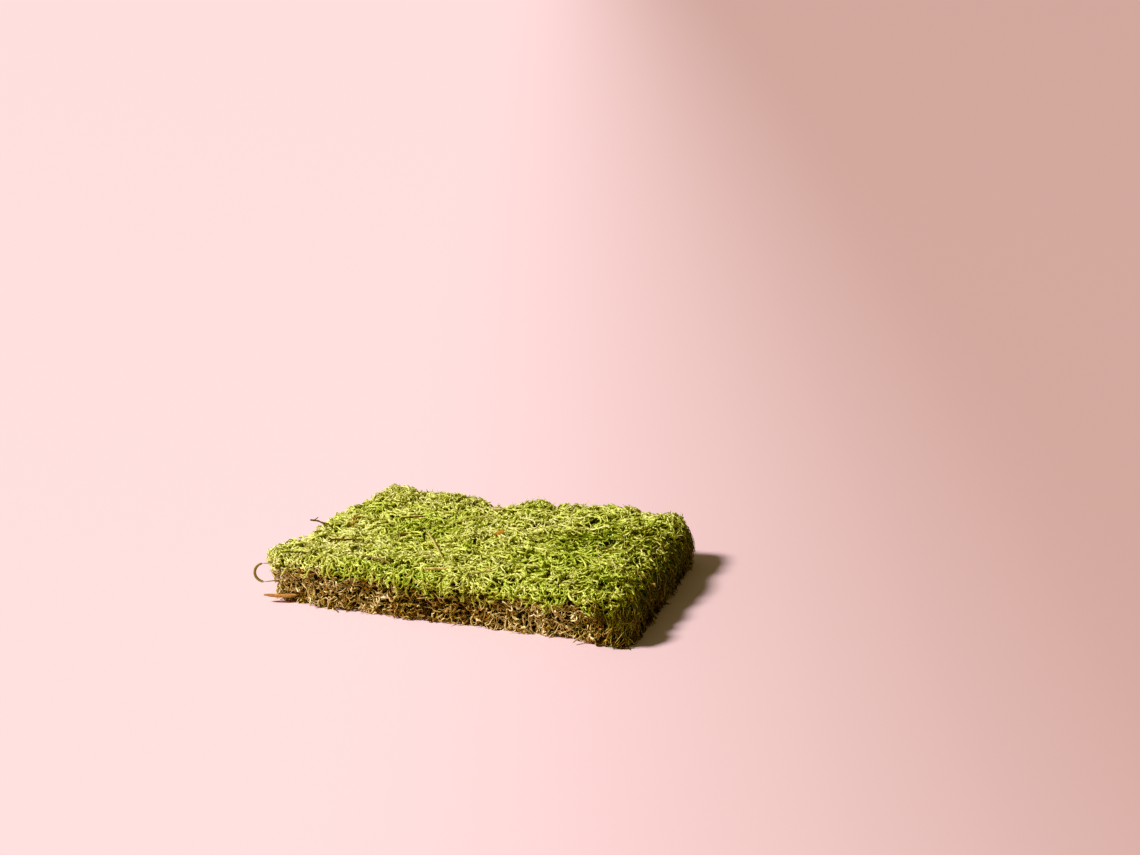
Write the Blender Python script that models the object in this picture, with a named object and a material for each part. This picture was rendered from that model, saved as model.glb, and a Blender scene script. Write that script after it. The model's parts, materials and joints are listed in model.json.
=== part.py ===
"""A cut mat of feather moss, with the dry litter that lies caught in it.

The mat grew as one tangle: green living shoots on top, and under them the brown dead stems
of the same plants, cut off flat underneath.  The solid reaches the tips of the shoots, so
its lumps are tufts and its grooves are the gaps between them.

Metres, +Z up.  The mat lies with its long side along X and its front towards -Y.  The origin
is under its middle, on the surface that it rests on.
"""
import math

import bmesh
import bpy
from mathutils import Matrix, Vector, noise
from mathutils.bvhtree import BVHTree

# ---------------------------------------------------------------- driving dimensions
MAT_LENGTH = 0.300
MAT_WIDTH = 0.207
MAT_THICKNESS = 0.040

# How far each corner stands away from a true rectangle's corner: along X, along Y, in height.
# Keys are (left to right, front to back).
CORNER_SHIFT = {
    (0, 0): Vector((-0.007, 0.004, 0.001)),
    (1, 0): Vector((0.008, -0.005, 0.000)),
    (0, 1): Vector((0.010, -0.003, -0.003)),
    (1, 1): Vector((-0.011, 0.004, 0.004)),
}
CORNER_CUT = 0.007
CORNER_REACH = 0.026
OUTWARD_CORE = 0.045

# The notch in the back edge, where tufts are missing.
NOTCH_X = -0.030
NOTCH_HALF_WIDTH = 0.011
NOTCH_DEPTH = 0.014
NOTCH_DIP = 0.011
NOTCH_REACH = 0.020
NOTCH_FOOT_SPREAD = 1.4     # below the notch the stems stand out again, this much wider
NOTCH_FOOT_START = 1.6      # and this much sooner than the foot is reached

# A taller tuft at the back left corner.
PEAK = Vector((-0.136, 0.088, 0.0))
PEAK_HEIGHT = 0.006
PEAK_REACH = 0.014

# Tufts on top.
TUFT_PITCH = 0.0165
TUFT_HEIGHT = 0.0075
FINE_LUMP_PITCH = 0.0090
FINE_LUMP = 0.0030
SWELL_PITCH = 0.060
SWELL = 0.0040

# The ragged edge.
EDGE_WAVE_PITCH = 0.030
EDGE_WAVE = 0.0040
EDGE_TOOTH_PITCH = 0.009
EDGE_TOOTH = 0.0030
EDGE_REACH = 0.016

# The sides: a rounded green rim that stands over the brown stems.
RIM_ROUND = 0.009
RIM_DROP = 0.0035
RIGHT_ROUND = 0.026
RIGHT_DROP = 0.0110
GREEN_SHARE = 0.30
RIM_BULGE = 0.0012
STEM_INSET = 0.0045
FOOT_TUCK = 0.0025
SIDE_LUMP_PITCH = 0.012
SIDE_LUMP = 0.0035
FOOT_CALM = 0.4             # the cut edge at the bottom is this much less lumpy
SKIRT = 0.0030
SKIRT_REACH = 0.035
RIGHT_FLARE = 0.0095
BELLY_X = -0.045
BELLY = 0.0060
BELLY_REACH = 0.055

GRID_PITCH = 0.0050
SIDE_ROWS = 7

# Loose litter keeps this much air to the mat.
GAP = 0.0003
SETTLE_STEP = 0.0002
DROP_HEIGHT = 0.012

# Stems that lie on the tufts: where each one starts and ends in plan, how thick it is, how
# far it bows sideways, how crooked it is, and the material it has.
STEMS = {
    "edge_twig": ((-0.1570, -0.0130), (-0.1300, -0.0260), 0.0018, 0.0030, 0.0007, "dark_twig"),
    "thin_dark_twig": ((-0.1395, -0.0900), (-0.1190, -0.0885), 0.0013, 0.0008, 0.0003, "dark_twig"),
    "red_brown_twig": ((-0.1165, -0.0560), (-0.0875, -0.0535), 0.0020, 0.0010, 0.0006, "red_twig"),
    "tan_needle": ((-0.0505, -0.0110), (-0.0050, -0.0810), 0.0014, 0.0006, 0.0000, "tan_straw"),
    "orange_straw": ((-0.0120, -0.1000), (0.0020, -0.0915), 0.0018, 0.0008, 0.0003, "orange_straw"),
    "thin_straw": ((0.0270, -0.0980), (0.0405, -0.0835), 0.0012, 0.0012, 0.0002, "tan_straw"),
    "brown_twig": ((-0.0890, 0.0195), (-0.0660, 0.0165), 0.0018, 0.0006, 0.0004, "red_twig"),
    "long_pale_straw": ((-0.0420, 0.0195), (-0.0130, 0.0380), 0.0013, 0.0018, 0.0002, "tan_straw"),
}

# The forked twig, laid like the stems, and its side branch.
FORK_START = (-0.0730, -0.0835)
FORK_END = (-0.0450, -0.0925)
FORK_THICKNESS = 0.0017
FORK_AT = 0.0065
BRANCH_LENGTH = 0.0085
BRANCH_ANGLE = math.radians(-58.0)

# Flat bits: start, end, width, thickness, bend, twist, material.
FLAKES = {
    "bark_bit": ((-0.0770, -0.0145), (-0.0670, -0.0125), 0.0040, 0.0020, 0.0004, 0.15, "dark_twig"),
    "orange_leaf_bit": ((0.0060, -0.0060), (0.0080, 0.0070), 0.0050, 0.0009, 0.0016, 0.35,
                        "orange_straw"),
}

BUD_START = (-0.0215, 0.0560)
BUD_END = (-0.0145, 0.0600)
BUD_WIDTH = 0.0042

# Pieces held in the side of the mat, each in its own slot.
CHIP_LENGTH = 0.027
CHIP_WIDTH = 0.0075
CHIP_THICKNESS = 0.0022
CHIP_PLACE = Vector((-0.1415, -0.0960, 0.0055))
CHIP_HEADING = math.radians(20.0)
SIDE_STRAW_LENGTH = 0.020
SIDE_STRAW_THICKNESS = 0.0014
SIDE_STRAW_PLACE = Vector((0.1215, -0.1035, 0.0063))
SIDE_STRAW_HEADING = math.radians(50.0)
SIDE_STRAW_RISE = math.radians(22.0)
BLADE_LOOP = 0.0078
BLADE_LEG = 0.011
BLADE_WIDTH = 0.0024
BLADE_THICKNESS = 0.0006
BLADE_PLACE = Vector((-0.1540, -0.1000, 0.0250))
BLADE_HEADING = math.radians(201.0)

OBJECT_NAME = "moss_mat_piece"
UP = Vector((0.0, 0.0, 1.0))


# ---------------------------------------------------------------- helpers
def clear_scene():
    for item in list(bpy.data.objects):
        bpy.data.objects.remove(item, do_unlink=True)


def make_collection(name):
    collection = bpy.data.collections.new(name)
    bpy.context.scene.collection.children.link(collection)
    return collection


def make_material(name, colour, roughness):
    material = bpy.data.materials.new(name)
    material.use_nodes = True
    shader = material.node_tree.nodes["Principled BSDF"]
    shader.inputs["Base Color"].default_value = (*colour, 1.0)
    shader.inputs["Roughness"].default_value = roughness
    shader.inputs["Metallic"].default_value = 0.0
    return material


def add_object(name, mesh, collection, material):
    mesh.name = name
    mesh.materials.clear()
    mesh.materials.append(material)
    item = bpy.data.objects.new(name, mesh)
    collection.objects.link(item)
    return item


def bump(distance, half_width):
    """A smooth hill, 1 at no distance and nearly 0 at two half widths."""
    return math.exp(-((distance / half_width) ** 2))


def lumps(place, pitch):
    """Soft random lumps between -1 and 1, about one pitch apart."""
    return noise.noise(Vector(place) / pitch)


def clamp(value, low, high):
    return max(low, min(high, value))


# ---------------------------------------------------------------- the mat
def corner_shift(across, back):
    """The skew of the outline: each corner's shift, blended over the mat."""
    total = Vector((0.0, 0.0, 0.0))
    for (right, rear), shift in CORNER_SHIFT.items():
        share_x = across if right else 1.0 - across
        share_y = back if rear else 1.0 - back
        total += shift * share_x * share_y
    return total


def outward(x, y):
    """The level direction away from the mat's inner core, square to the nearest edge."""
    core_x = MAT_LENGTH / 2.0 - OUTWARD_CORE
    core_y = MAT_WIDTH / 2.0 - OUTWARD_CORE
    away = Vector((x - clamp(x, -core_x, core_x), y - clamp(y, -core_y, core_y), 0.0))
    if away.length < 1e-6:
        return Vector((0.0, 0.0, 0.0))
    return away.normalized()


def tuft_height(x, y):
    """Domed tufts with grooves between them, on broad swells."""
    distances, _centres = noise.voronoi(Vector((x, y, 0.0)) / TUFT_PITCH)
    dome = 0.5 - distances[0]
    return (
        TUFT_HEIGHT * dome
        + FINE_LUMP * lumps((x, y, 0.21), FINE_LUMP_PITCH)
        + SWELL * lumps((x, y, 0.40), SWELL_PITCH)
    )


def top_point(across, back):
    """The mat's upper surface at a share of its length and of its width."""
    x = (across - 0.5) * MAT_LENGTH
    y = (back - 0.5) * MAT_WIDTH
    edge = min(x + MAT_LENGTH / 2.0, MAT_LENGTH / 2.0 - x, y + MAT_WIDTH / 2.0, MAT_WIDTH / 2.0 - y)
    corner = math.hypot(MAT_LENGTH / 2.0 - abs(x), MAT_WIDTH / 2.0 - abs(y))

    near_edge = bump(edge, EDGE_REACH)
    push = near_edge * (
        EDGE_WAVE * lumps((x, y, 0.0), EDGE_WAVE_PITCH)
        + EDGE_TOOTH * lumps((x, y, 0.7), EDGE_TOOTH_PITCH)
    )
    push -= CORNER_CUT * max(0.0, 1.0 - corner / CORNER_REACH) ** 2
    notch = bump(x - NOTCH_X, NOTCH_HALF_WIDTH) * bump(MAT_WIDTH / 2.0 - y, NOTCH_REACH)
    push -= NOTCH_DEPTH * notch

    shift = corner_shift(across, back)
    rim = max(0.0, 1.0 - edge / RIM_ROUND) ** 2
    right = max(0.0, 1.0 - (MAT_LENGTH / 2.0 - x) / RIGHT_ROUND) ** 2
    height = MAT_THICKNESS + shift.z + tuft_height(x, y) - NOTCH_DIP * notch
    height -= RIM_DROP * rim + RIGHT_DROP * right
    height += PEAK_HEIGHT * bump((Vector((x, y, 0.0)) - PEAK).length, PEAK_REACH)
    level = Vector((x + shift.x, y + shift.y, 0.0)) + outward(x, y) * push
    return level + UP * height


def side_point(rim, out, share_down):
    """A point of the side, that share of the way down below a point of the rim."""
    if share_down < GREEN_SHARE:
        inset = -RIM_BULGE * math.sin(math.pi * share_down / GREEN_SHARE)
    else:
        lower = (share_down - GREEN_SHARE) / (1.0 - GREEN_SHARE)
        inset = STEM_INSET * min(1.0, 3.0 * lower) + FOOT_TUCK * lower**3
    front_right = Vector((MAT_LENGTH / 2.0, -MAT_WIDTH / 2.0, 0.0))
    nearness = bump((Vector((rim.x, rim.y, 0.0)) - front_right).length, SKIRT_REACH)
    inset -= SKIRT * nearness * share_down
    inset -= RIGHT_FLARE * max(0.0, out.x) * share_down
    inset -= BELLY * max(0.0, -out.y) * bump(rim.x - BELLY_X, BELLY_REACH) * share_down
    below_notch = max(0.0, out.y) * bump(rim.x - NOTCH_X, NOTCH_FOOT_SPREAD * NOTCH_HALF_WIDTH)
    inset -= NOTCH_DEPTH * below_notch * min(1.0, NOTCH_FOOT_START * share_down)
    height = rim.z * (1.0 - share_down)
    place = Vector((rim.x, rim.y, height)) - out * inset
    calm = 1.0 if share_down < 1.0 else FOOT_CALM
    place += out * SIDE_LUMP * calm * lumps((rim.x, rim.y, height + 0.3), SIDE_LUMP_PITCH)
    return place


def build_mat(collection, material):
    """A grid shaped into the top, its border drawn down row by row, and a flat cut below."""
    columns = round(MAT_LENGTH / GRID_PITCH)
    rows = round(MAT_WIDTH / GRID_PITCH)
    mesh = bmesh.new()
    bmesh.ops.create_grid(mesh, x_segments=columns, y_segments=rows, size=0.5)
    outs = {}
    for vertex in mesh.verts:
        across = vertex.co.x + 0.5
        back = vertex.co.y + 0.5
        flat = Vector(((across - 0.5) * MAT_LENGTH, (back - 0.5) * MAT_WIDTH, 0.0))
        vertex.co = top_point(across, back)
        if vertex.is_boundary:
            outs[vertex] = (vertex.co.copy(), outward(flat.x, flat.y))
    edges = [edge for edge in mesh.edges if edge.is_boundary]
    for row in range(1, SIDE_ROWS + 1):
        grown = bmesh.ops.extrude_edge_only(mesh, edges=edges)["geom"]
        new_verts = [part for part in grown if isinstance(part, bmesh.types.BMVert)]
        new_edges = [part for part in grown if isinstance(part, bmesh.types.BMEdge)]
        # Each new vertex sits on the one above it, so its rim is found through the shared edge.
        next_outs = {}
        for vertex in new_verts:
            above = next(edge.other_vert(vertex) for edge in vertex.link_edges
                         if edge.other_vert(vertex) in outs)
            rim, out = outs[above]
            vertex.co = side_point(rim, out, row / SIDE_ROWS)
            next_outs[vertex] = (rim, out)
        outs = next_outs
        edges = [edge for edge in new_edges if edge.is_boundary]
    bmesh.ops.contextual_create(mesh, geom=edges)
    bmesh.ops.recalc_face_normals(mesh, faces=mesh.faces)
    bmesh.ops.triangulate(mesh, faces=[face for face in mesh.faces if len(face.verts) > 4])
    data = bpy.data.meshes.new("moss_mat")
    mesh.to_mesh(data)
    mesh.free()
    return add_object("moss_mat", data, collection, material)


# ---------------------------------------------------------------- litter shapes
def spline_mesh(points, radii, thickness, half_width=0.0):
    """A closed mesh along a polyline: a round stem, or a flat strip if it has a half width."""
    curve = bpy.data.curves.new("route", "CURVE")
    curve.dimensions = "3D"
    curve.fill_mode = "FULL"
    curve.bevel_depth = thickness / 2.0
    curve.bevel_resolution = 1
    curve.extrude = half_width
    curve.use_fill_caps = True
    spline = curve.splines.new("POLY")
    spline.points.add(len(points) - 1)
    for knot, point, radius in zip(spline.points, points, radii):
        knot.co = (*point, 1.0)
        knot.radius = radius
    item = bpy.data.objects.new("route", curve)
    bpy.context.scene.collection.objects.link(item)
    bpy.context.view_layer.update()
    mesh = bpy.data.meshes.new_from_object(item.evaluated_get(bpy.context.evaluated_depsgraph_get()))
    bpy.data.objects.remove(item, do_unlink=True)
    weld = bmesh.new()
    weld.from_mesh(mesh)
    bmesh.ops.remove_doubles(weld, verts=weld.verts, dist=0.00001)
    bmesh.ops.recalc_face_normals(weld, faces=weld.faces)
    weld.to_mesh(mesh)
    weld.free()
    mesh.shade_smooth()
    return mesh


def stem_mesh(length, thickness, bow=0.0, kink=0.0, knots=6, tip=0.5):
    """A thin stem along X about its middle, bowed sideways and a little crooked, with thin ends."""
    points = []
    radii = []
    for step in range(knots):
        share = step / (knots - 1)
        x = (share - 0.5) * length
        y = bow * (1.0 - (2.0 * share - 1.0) ** 2) + kink * math.sin(step * 2.4)
        points.append(Vector((x, y, 0.0)))
        radii.append(tip + (1.0 - tip) * math.sin(math.pi * clamp(share, 0.12, 0.88)))
    return spline_mesh(points, radii, thickness)


def flake_mesh(length, width, thickness, bend=0.0, twist=0.0):
    """A flat splinter along X: a bevelled block that narrows to ragged ends."""
    mesh = bmesh.new()
    bmesh.ops.create_cube(mesh, size=1.0)
    along = [edge for edge in mesh.edges if abs(edge.verts[0].co.x - edge.verts[1].co.x) > 0.5]
    bmesh.ops.subdivide_edges(mesh, edges=along, cuts=4)
    for vertex in mesh.verts:
        share = vertex.co.x * 2.0
        narrow = 1.0 - 0.62 * abs(share) ** 2.5
        ragged = 1.0 + 0.22 * lumps((vertex.co.x * 3.0, vertex.co.y * 9.0, 0.5), 1.0)
        place = Vector((vertex.co.x * length, vertex.co.y * width * narrow * ragged,
                        vertex.co.z * thickness))
        place.z += bend * share * share
        vertex.co = Matrix.Rotation(twist * share, 3, "X") @ place
    data = bpy.data.meshes.new("flake")
    mesh.to_mesh(data)
    mesh.free()
    return data


def bud_mesh(length, width):
    """A small pointed bud along X."""
    mesh = bmesh.new()
    bmesh.ops.create_uvsphere(mesh, u_segments=8, v_segments=6, radius=0.5)
    bmesh.ops.rotate(mesh, verts=mesh.verts, matrix=Matrix.Rotation(math.pi / 2.0, 3, "Y"))
    for vertex in mesh.verts:
        share = vertex.co.x + 0.5
        point = 1.0 - 0.45 * share
        vertex.co = Vector((vertex.co.x * length, vertex.co.y * width * point,
                            vertex.co.z * width * point))
    data = bpy.data.meshes.new("bud")
    mesh.to_mesh(data)
    mesh.free()
    data.shade_smooth()
    return data


def joined(first, second, collection):
    """Fork a stem: the second mesh is united with the first."""
    base = bpy.data.objects.new("fork_base", first)
    branch = bpy.data.objects.new("fork_branch", second)
    for item in (base, branch):
        collection.objects.link(item)
    union = base.modifiers.new("fork", "BOOLEAN")
    union.operation = "UNION"
    union.solver = "EXACT"
    union.object = branch
    bpy.context.view_layer.update()
    mesh = bpy.data.meshes.new_from_object(base.evaluated_get(bpy.context.evaluated_depsgraph_get()))
    for item in (base, branch):
        bpy.data.objects.remove(item, do_unlink=True)
    return mesh


# ---------------------------------------------------------------- laying litter on the mat
def world_tree(item):
    """A search tree of an object's triangles, where it stands."""
    bpy.context.view_layer.update()
    mesh = bmesh.new()
    mesh.from_mesh(item.data)
    mesh.transform(item.matrix_world)
    tree = BVHTree.FromBMesh(mesh)
    mesh.free()
    return tree


def tuft_top(tree, point):
    """The mat's height below a plan point, or None off its edge."""
    return tree.ray_cast(Vector((*point, 1.0)), -UP)[0]


def lay(item, mat_tree, start, end):
    """Put a piece with its middle between two plan points and lower it onto the tufts."""
    begin = tuft_top(mat_tree, start)
    finish = tuft_top(mat_tree, end)
    begin = begin or Vector((*start, finish.z))
    finish = finish or Vector((*end, begin.z))
    run = finish - begin
    heading = math.atan2(run.y, run.x)
    slope = -math.atan2(run.z, math.hypot(run.x, run.y))
    item.rotation_euler = (0.0, slope, heading)
    item.location = (begin + finish) / 2.0 + UP * DROP_HEIGHT
    while not world_tree(item).overlap(mat_tree):
        item.location.z -= SETTLE_STEP
    item.location.z += SETTLE_STEP + GAP


# ---------------------------------------------------------------- pieces held in the side
def hide_as_cutter(item):
    item.hide_render = True
    item.display_type = "WIRE"


def hold_in_side(mat, cutters, name, make_mesh, placing, collection, material):
    """Add a piece at its place, and cut its slot with the same shape grown by the gap."""
    piece = add_object(name, make_mesh(0.0), collection, material)
    piece.matrix_world = placing
    cutter = add_object(name + "_slot", make_mesh(GAP), cutters, material)
    cutter.matrix_world = placing
    hide_as_cutter(cutter)
    slot = mat.modifiers.new(name, "BOOLEAN")
    slot.operation = "DIFFERENCE"
    slot.solver = "EXACT"
    slot.object = cutter
    return piece


def chip_mesh(grow):
    return flake_mesh(CHIP_LENGTH + 2.0 * grow, CHIP_WIDTH + 2.0 * grow,
                      CHIP_THICKNESS + 2.0 * grow, bend=0.0008, twist=0.10)


def side_straw_mesh(grow):
    return stem_mesh(SIDE_STRAW_LENGTH + 2.0 * grow, SIDE_STRAW_THICKNESS + 2.0 * grow,
                     bow=0.0008, knots=5, tip=0.8)


def blade_mesh(grow):
    """A narrow blade bent to a loop in an upright plane, with two legs that run into the mat."""
    points = [Vector((-BLADE_LEG, 0.0, 0.92 * BLADE_LOOP))]
    turns = 8
    for step in range(turns + 1):
        angle = math.pi * (0.5 - step / turns)
        points.append(Vector((BLADE_LOOP * math.cos(angle), 0.0, BLADE_LOOP * math.sin(angle))))
    points.append(Vector((-BLADE_LEG, 0.0, -0.84 * BLADE_LOOP)))
    radii = [1.0] * len(points)
    return spline_mesh(points, radii, BLADE_THICKNESS + 2.0 * grow,
                       half_width=(BLADE_WIDTH - BLADE_THICKNESS) / 2.0)


# ---------------------------------------------------------------- build
def distance(start, end):
    return math.hypot(end[0] - start[0], end[1] - start[1])


def fork_mesh(collection):
    stem = stem_mesh(distance(FORK_START, FORK_END), FORK_THICKNESS, bow=0.0015, kink=0.0006)
    branch = stem_mesh(BRANCH_LENGTH, 0.75 * FORK_THICKNESS, bow=0.0006, knots=4)
    reach = Vector((BRANCH_LENGTH / 2.0, 0.0, 0.0))
    turn = Matrix.Rotation(BRANCH_ANGLE, 4, "Z")
    branch.transform(Matrix.Translation((FORK_AT, 0.0008, 0.0)) @ turn @ Matrix.Translation(reach))
    return joined(stem, branch, collection)


def lay_litter(mat, pieces, finishes):
    """Everything that lies on top of the mat."""
    mat_tree = world_tree(mat)
    for name, (start, end, thickness, bow, kink, finish) in STEMS.items():
        mesh = stem_mesh(distance(start, end), thickness, bow, kink)
        lay(add_object(name, mesh, pieces, finishes[finish]), mat_tree, start, end)
    fork = add_object("forked_twig", fork_mesh(pieces), pieces, finishes["dark_twig"])
    lay(fork, mat_tree, FORK_START, FORK_END)
    for name, (start, end, width, thickness, bend, twist, finish) in FLAKES.items():
        mesh = flake_mesh(distance(start, end), width, thickness, bend, twist)
        lay(add_object(name, mesh, pieces, finishes[finish]), mat_tree, start, end)
    bud = bud_mesh(distance(BUD_START, BUD_END), BUD_WIDTH)
    lay(add_object("dry_bud", bud, pieces, finishes["tan_straw"]), mat_tree, BUD_START, BUD_END)


def hold_litter(mat, pieces, cutters, finishes):
    """Everything that is caught in the side of the mat."""
    chip_place = Matrix.Translation(CHIP_PLACE) @ Matrix.Rotation(CHIP_HEADING, 4, "Z")
    hold_in_side(mat, cutters, "wood_chip", chip_mesh, chip_place, pieces,
                 finishes["orange_straw"])
    straw_place = (Matrix.Translation(SIDE_STRAW_PLACE)
                   @ Matrix.Rotation(SIDE_STRAW_HEADING, 4, "Z")
                   @ Matrix.Rotation(-SIDE_STRAW_RISE, 4, "Y"))
    hold_in_side(mat, cutters, "side_straw", side_straw_mesh, straw_place, pieces,
                 finishes["tan_straw"])
    blade_place = Matrix.Translation(BLADE_PLACE) @ Matrix.Rotation(BLADE_HEADING, 4, "Z")
    hold_in_side(mat, cutters, "curled_grass_blade", blade_mesh, blade_place, pieces,
                 finishes["dry_blade"])


def centre_on_origin(items):
    """Move everything so that the middle of the whole box is over the origin."""
    bpy.context.view_layer.update()
    corners = [item.matrix_world @ vertex.co
               for item in items if not item.hide_render for vertex in item.data.vertices]
    middle = [(min(axis) + max(axis)) / 2.0 for axis in zip(*corners)]
    shift = Vector((middle[0], middle[1], 0.0))
    for item in items:
        item.location -= shift
    print("moved by", [round(value, 5) for value in shift])


def main():
    clear_scene()
    pieces = make_collection(OBJECT_NAME)
    cutters = make_collection("slots")
    moss = make_material("moss", (0.30, 0.34, 0.05), 0.85)
    finishes = {
        "dark_twig": make_material("dark_twig", (0.055, 0.032, 0.018), 0.75),
        "red_twig": make_material("red_twig", (0.15, 0.05, 0.025), 0.70),
        "tan_straw": make_material("tan_straw", (0.50, 0.36, 0.18), 0.55),
        "orange_straw": make_material("orange_straw", (0.52, 0.24, 0.07), 0.65),
        "dry_blade": make_material("dry_blade", (0.42, 0.38, 0.12), 0.50),
    }
    mat = build_mat(pieces, moss)
    lay_litter(mat, pieces, finishes)
    hold_litter(mat, pieces, cutters, finishes)
    centre_on_origin([*pieces.objects, *cutters.objects])


main()
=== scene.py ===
# %% [markdown]
# # A mat of feather moss
#
# This lesson dresses a cut mat of feather moss.  The real thing is a tangle of thousands of
# shoots, each a thin stem wrapped in small pointed leaves.  The living, yellow-green shoots lie
# on top, and under them are the brown, dead stems of the same plants.  Bits of dry litter are
# caught in it: twigs, straws, a needle, a chip of wood.
#
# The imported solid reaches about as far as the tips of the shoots, so it serves as their
# envelope: each shoot's line is drawn along it and then let into it.  Hair or scattered
# instances would be quicker to set up, but the export drops both, so the shoots are worked out
# with NumPy and joined into a few meshes.

import heapq
import json
import math
import time

import bmesh
import bpy
import numpy as np
from mathutils import Matrix, Vector, noise
from mathutils.bvhtree import BVHTree


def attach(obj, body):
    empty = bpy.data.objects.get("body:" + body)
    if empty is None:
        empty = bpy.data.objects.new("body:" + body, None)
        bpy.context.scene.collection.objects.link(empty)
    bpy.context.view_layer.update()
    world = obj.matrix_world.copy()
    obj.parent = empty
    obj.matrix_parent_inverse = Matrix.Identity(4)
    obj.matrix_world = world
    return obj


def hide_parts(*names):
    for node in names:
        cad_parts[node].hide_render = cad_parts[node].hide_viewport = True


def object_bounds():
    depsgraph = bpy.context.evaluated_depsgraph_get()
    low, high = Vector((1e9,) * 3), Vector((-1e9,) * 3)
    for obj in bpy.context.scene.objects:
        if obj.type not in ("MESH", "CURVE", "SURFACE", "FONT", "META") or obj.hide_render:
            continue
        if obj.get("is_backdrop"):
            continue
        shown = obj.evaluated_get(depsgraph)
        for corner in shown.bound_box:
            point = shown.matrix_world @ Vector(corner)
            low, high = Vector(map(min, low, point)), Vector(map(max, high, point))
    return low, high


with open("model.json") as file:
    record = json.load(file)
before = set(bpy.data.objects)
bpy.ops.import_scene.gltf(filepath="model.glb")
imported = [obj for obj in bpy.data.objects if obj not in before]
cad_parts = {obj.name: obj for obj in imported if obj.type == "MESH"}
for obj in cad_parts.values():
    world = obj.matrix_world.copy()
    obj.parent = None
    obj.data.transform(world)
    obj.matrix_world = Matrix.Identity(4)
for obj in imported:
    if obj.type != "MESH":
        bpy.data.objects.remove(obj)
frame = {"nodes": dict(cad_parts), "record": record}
cad_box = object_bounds()
began = time.time()
mat_solid = frame["nodes"]["moss_mat"]
litter_nodes = [node for name, node in frame["nodes"].items() if name != "moss_mat"]

MM = 0.001
X, Y, Z = range(3)


def print_box(title, box):
    print(title, [[round(value, 4) for value in corner] for corner in box])


def add_object(name, data):
    """A new object of the scene that shows this data."""
    item = bpy.data.objects.new(name, data)
    bpy.context.scene.collection.objects.link(item)
    return item


print_box("box of the solids:", cad_box)

# %% [markdown]
# ## Camera
#
# The mat is seen from its front, a little to the right of the middle and from slightly above,
# through a long lens.  The viewing angle was found by laying the corners of the solid over the
# corners of the mat in the photograph, which gives the place, the three turns and the focal
# length below.

# %% Camera
FRAME_WIDTH_PIXELS = 1140
FOCAL_PIXELS = 2300.0
SENSOR_MM = 36.0
FURTHEST_SEEN = 50.0
CAMERA_PLACE = Vector((0.72489, -1.62573, 0.62920))
CAMERA_HEADING = math.radians(111.83)
CAMERA_PITCH = math.radians(15.66)
CAMERA_ROLL = math.radians(-1.145)
UP = Vector((0.0, 0.0, 1.0))


def camera_turn(heading, pitch, roll):
    """The camera's axes: to its right, up and backwards, as the columns of a matrix."""
    level = Vector((math.cos(heading), math.sin(heading), 0.0))
    right = Vector((math.sin(heading), -math.cos(heading), 0.0))
    rise = math.sin(pitch) * level + math.cos(pitch) * UP
    ahead = math.cos(pitch) * level - math.sin(pitch) * UP
    rolled_right = math.cos(roll) * right + math.sin(roll) * rise
    rolled_rise = -math.sin(roll) * right + math.cos(roll) * rise
    return Matrix((rolled_right, rolled_rise, -ahead)).transposed()


lens = bpy.data.cameras.new("view")
lens.sensor_width = SENSOR_MM
lens.lens = FOCAL_PIXELS / FRAME_WIDTH_PIXELS * SENSOR_MM
lens.clip_end = FURTHEST_SEEN
camera = add_object("view", lens)
camera.matrix_world = (Matrix.Translation(CAMERA_PLACE)
                       @ camera_turn(CAMERA_HEADING, CAMERA_PITCH, CAMERA_ROLL).to_4x4())
bpy.context.scene.camera = camera
print("lens of", round(lens.lens, 1), "mm")

# %% [markdown]
# ## Light
#
# The photograph has one soft-edged lamp high on the left, and a weak fill from all round.  The
# lamp here is a sun with a wide disc, and the sky is even and weak, so the gaps between the
# shoots stay dark.  A large area lamp would do as well, but its light would fall off across the
# mat.  The photograph was developed with some contrast and with warm shadows, so this picture
# is given contrast too, and its blue is drawn down where it is dark.

# %% Light
SUN_DIRECTION = Vector((-0.60, -0.38, 0.72))
SUN_LEVEL = 4.1
SUN_SPREAD = math.radians(14.0)
SUN_COLOUR = (1.0, 0.965, 0.92)
SKY_COLOUR = (1.0, 0.92, 0.62)
SKY_LEVEL = 0.19
BLUE_DEVELOPED = [(0.02, 0.009), (0.06, 0.045), (0.13, 0.130), (0.30, 0.315)]
BLUE_CURVE = 2

lamp = bpy.data.lights.new("sun", "SUN")
lamp.color = SUN_COLOUR
lamp.energy = SUN_LEVEL
lamp.angle = SUN_SPREAD
sun_turn = (-SUN_DIRECTION).to_track_quat("-Z", "Y").to_matrix().to_4x4()
add_object("sun", lamp).matrix_world = Matrix.Translation(SUN_DIRECTION) @ sun_turn

sky = bpy.context.scene.world or bpy.data.worlds.new("sky")
bpy.context.scene.world = sky
sky.use_nodes = True
sky.node_tree.nodes["Background"].inputs["Color"].default_value = (*SKY_COLOUR, 1.0)
sky.node_tree.nodes["Background"].inputs["Strength"].default_value = SKY_LEVEL

view = bpy.context.scene.view_settings
view.view_transform = "Standard"
view.look = "Medium High Contrast"
view.use_curve_mapping = True
for level, developed in BLUE_DEVELOPED:
    view.curve_mapping.curves[BLUE_CURVE].points.new(level, developed)
view.curve_mapping.update()

# %% [markdown]
# ## Shader maths
#
# A finish is a sum of patterns.  `Wire` wraps a node's socket, so such a sum is written as
# Python: `1 - mask * 0.5` adds the two Math nodes by itself.  Every other node comes from
# `node`, which takes the node's type, its settings and the values or wires of its sockets.

# %% A wire between nodes
# The Mix node has sockets for each type of data, so its colours go by number.
MIX_FIRST, MIX_SECOND, MIX_RESULT = 6, 7, 2


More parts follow.
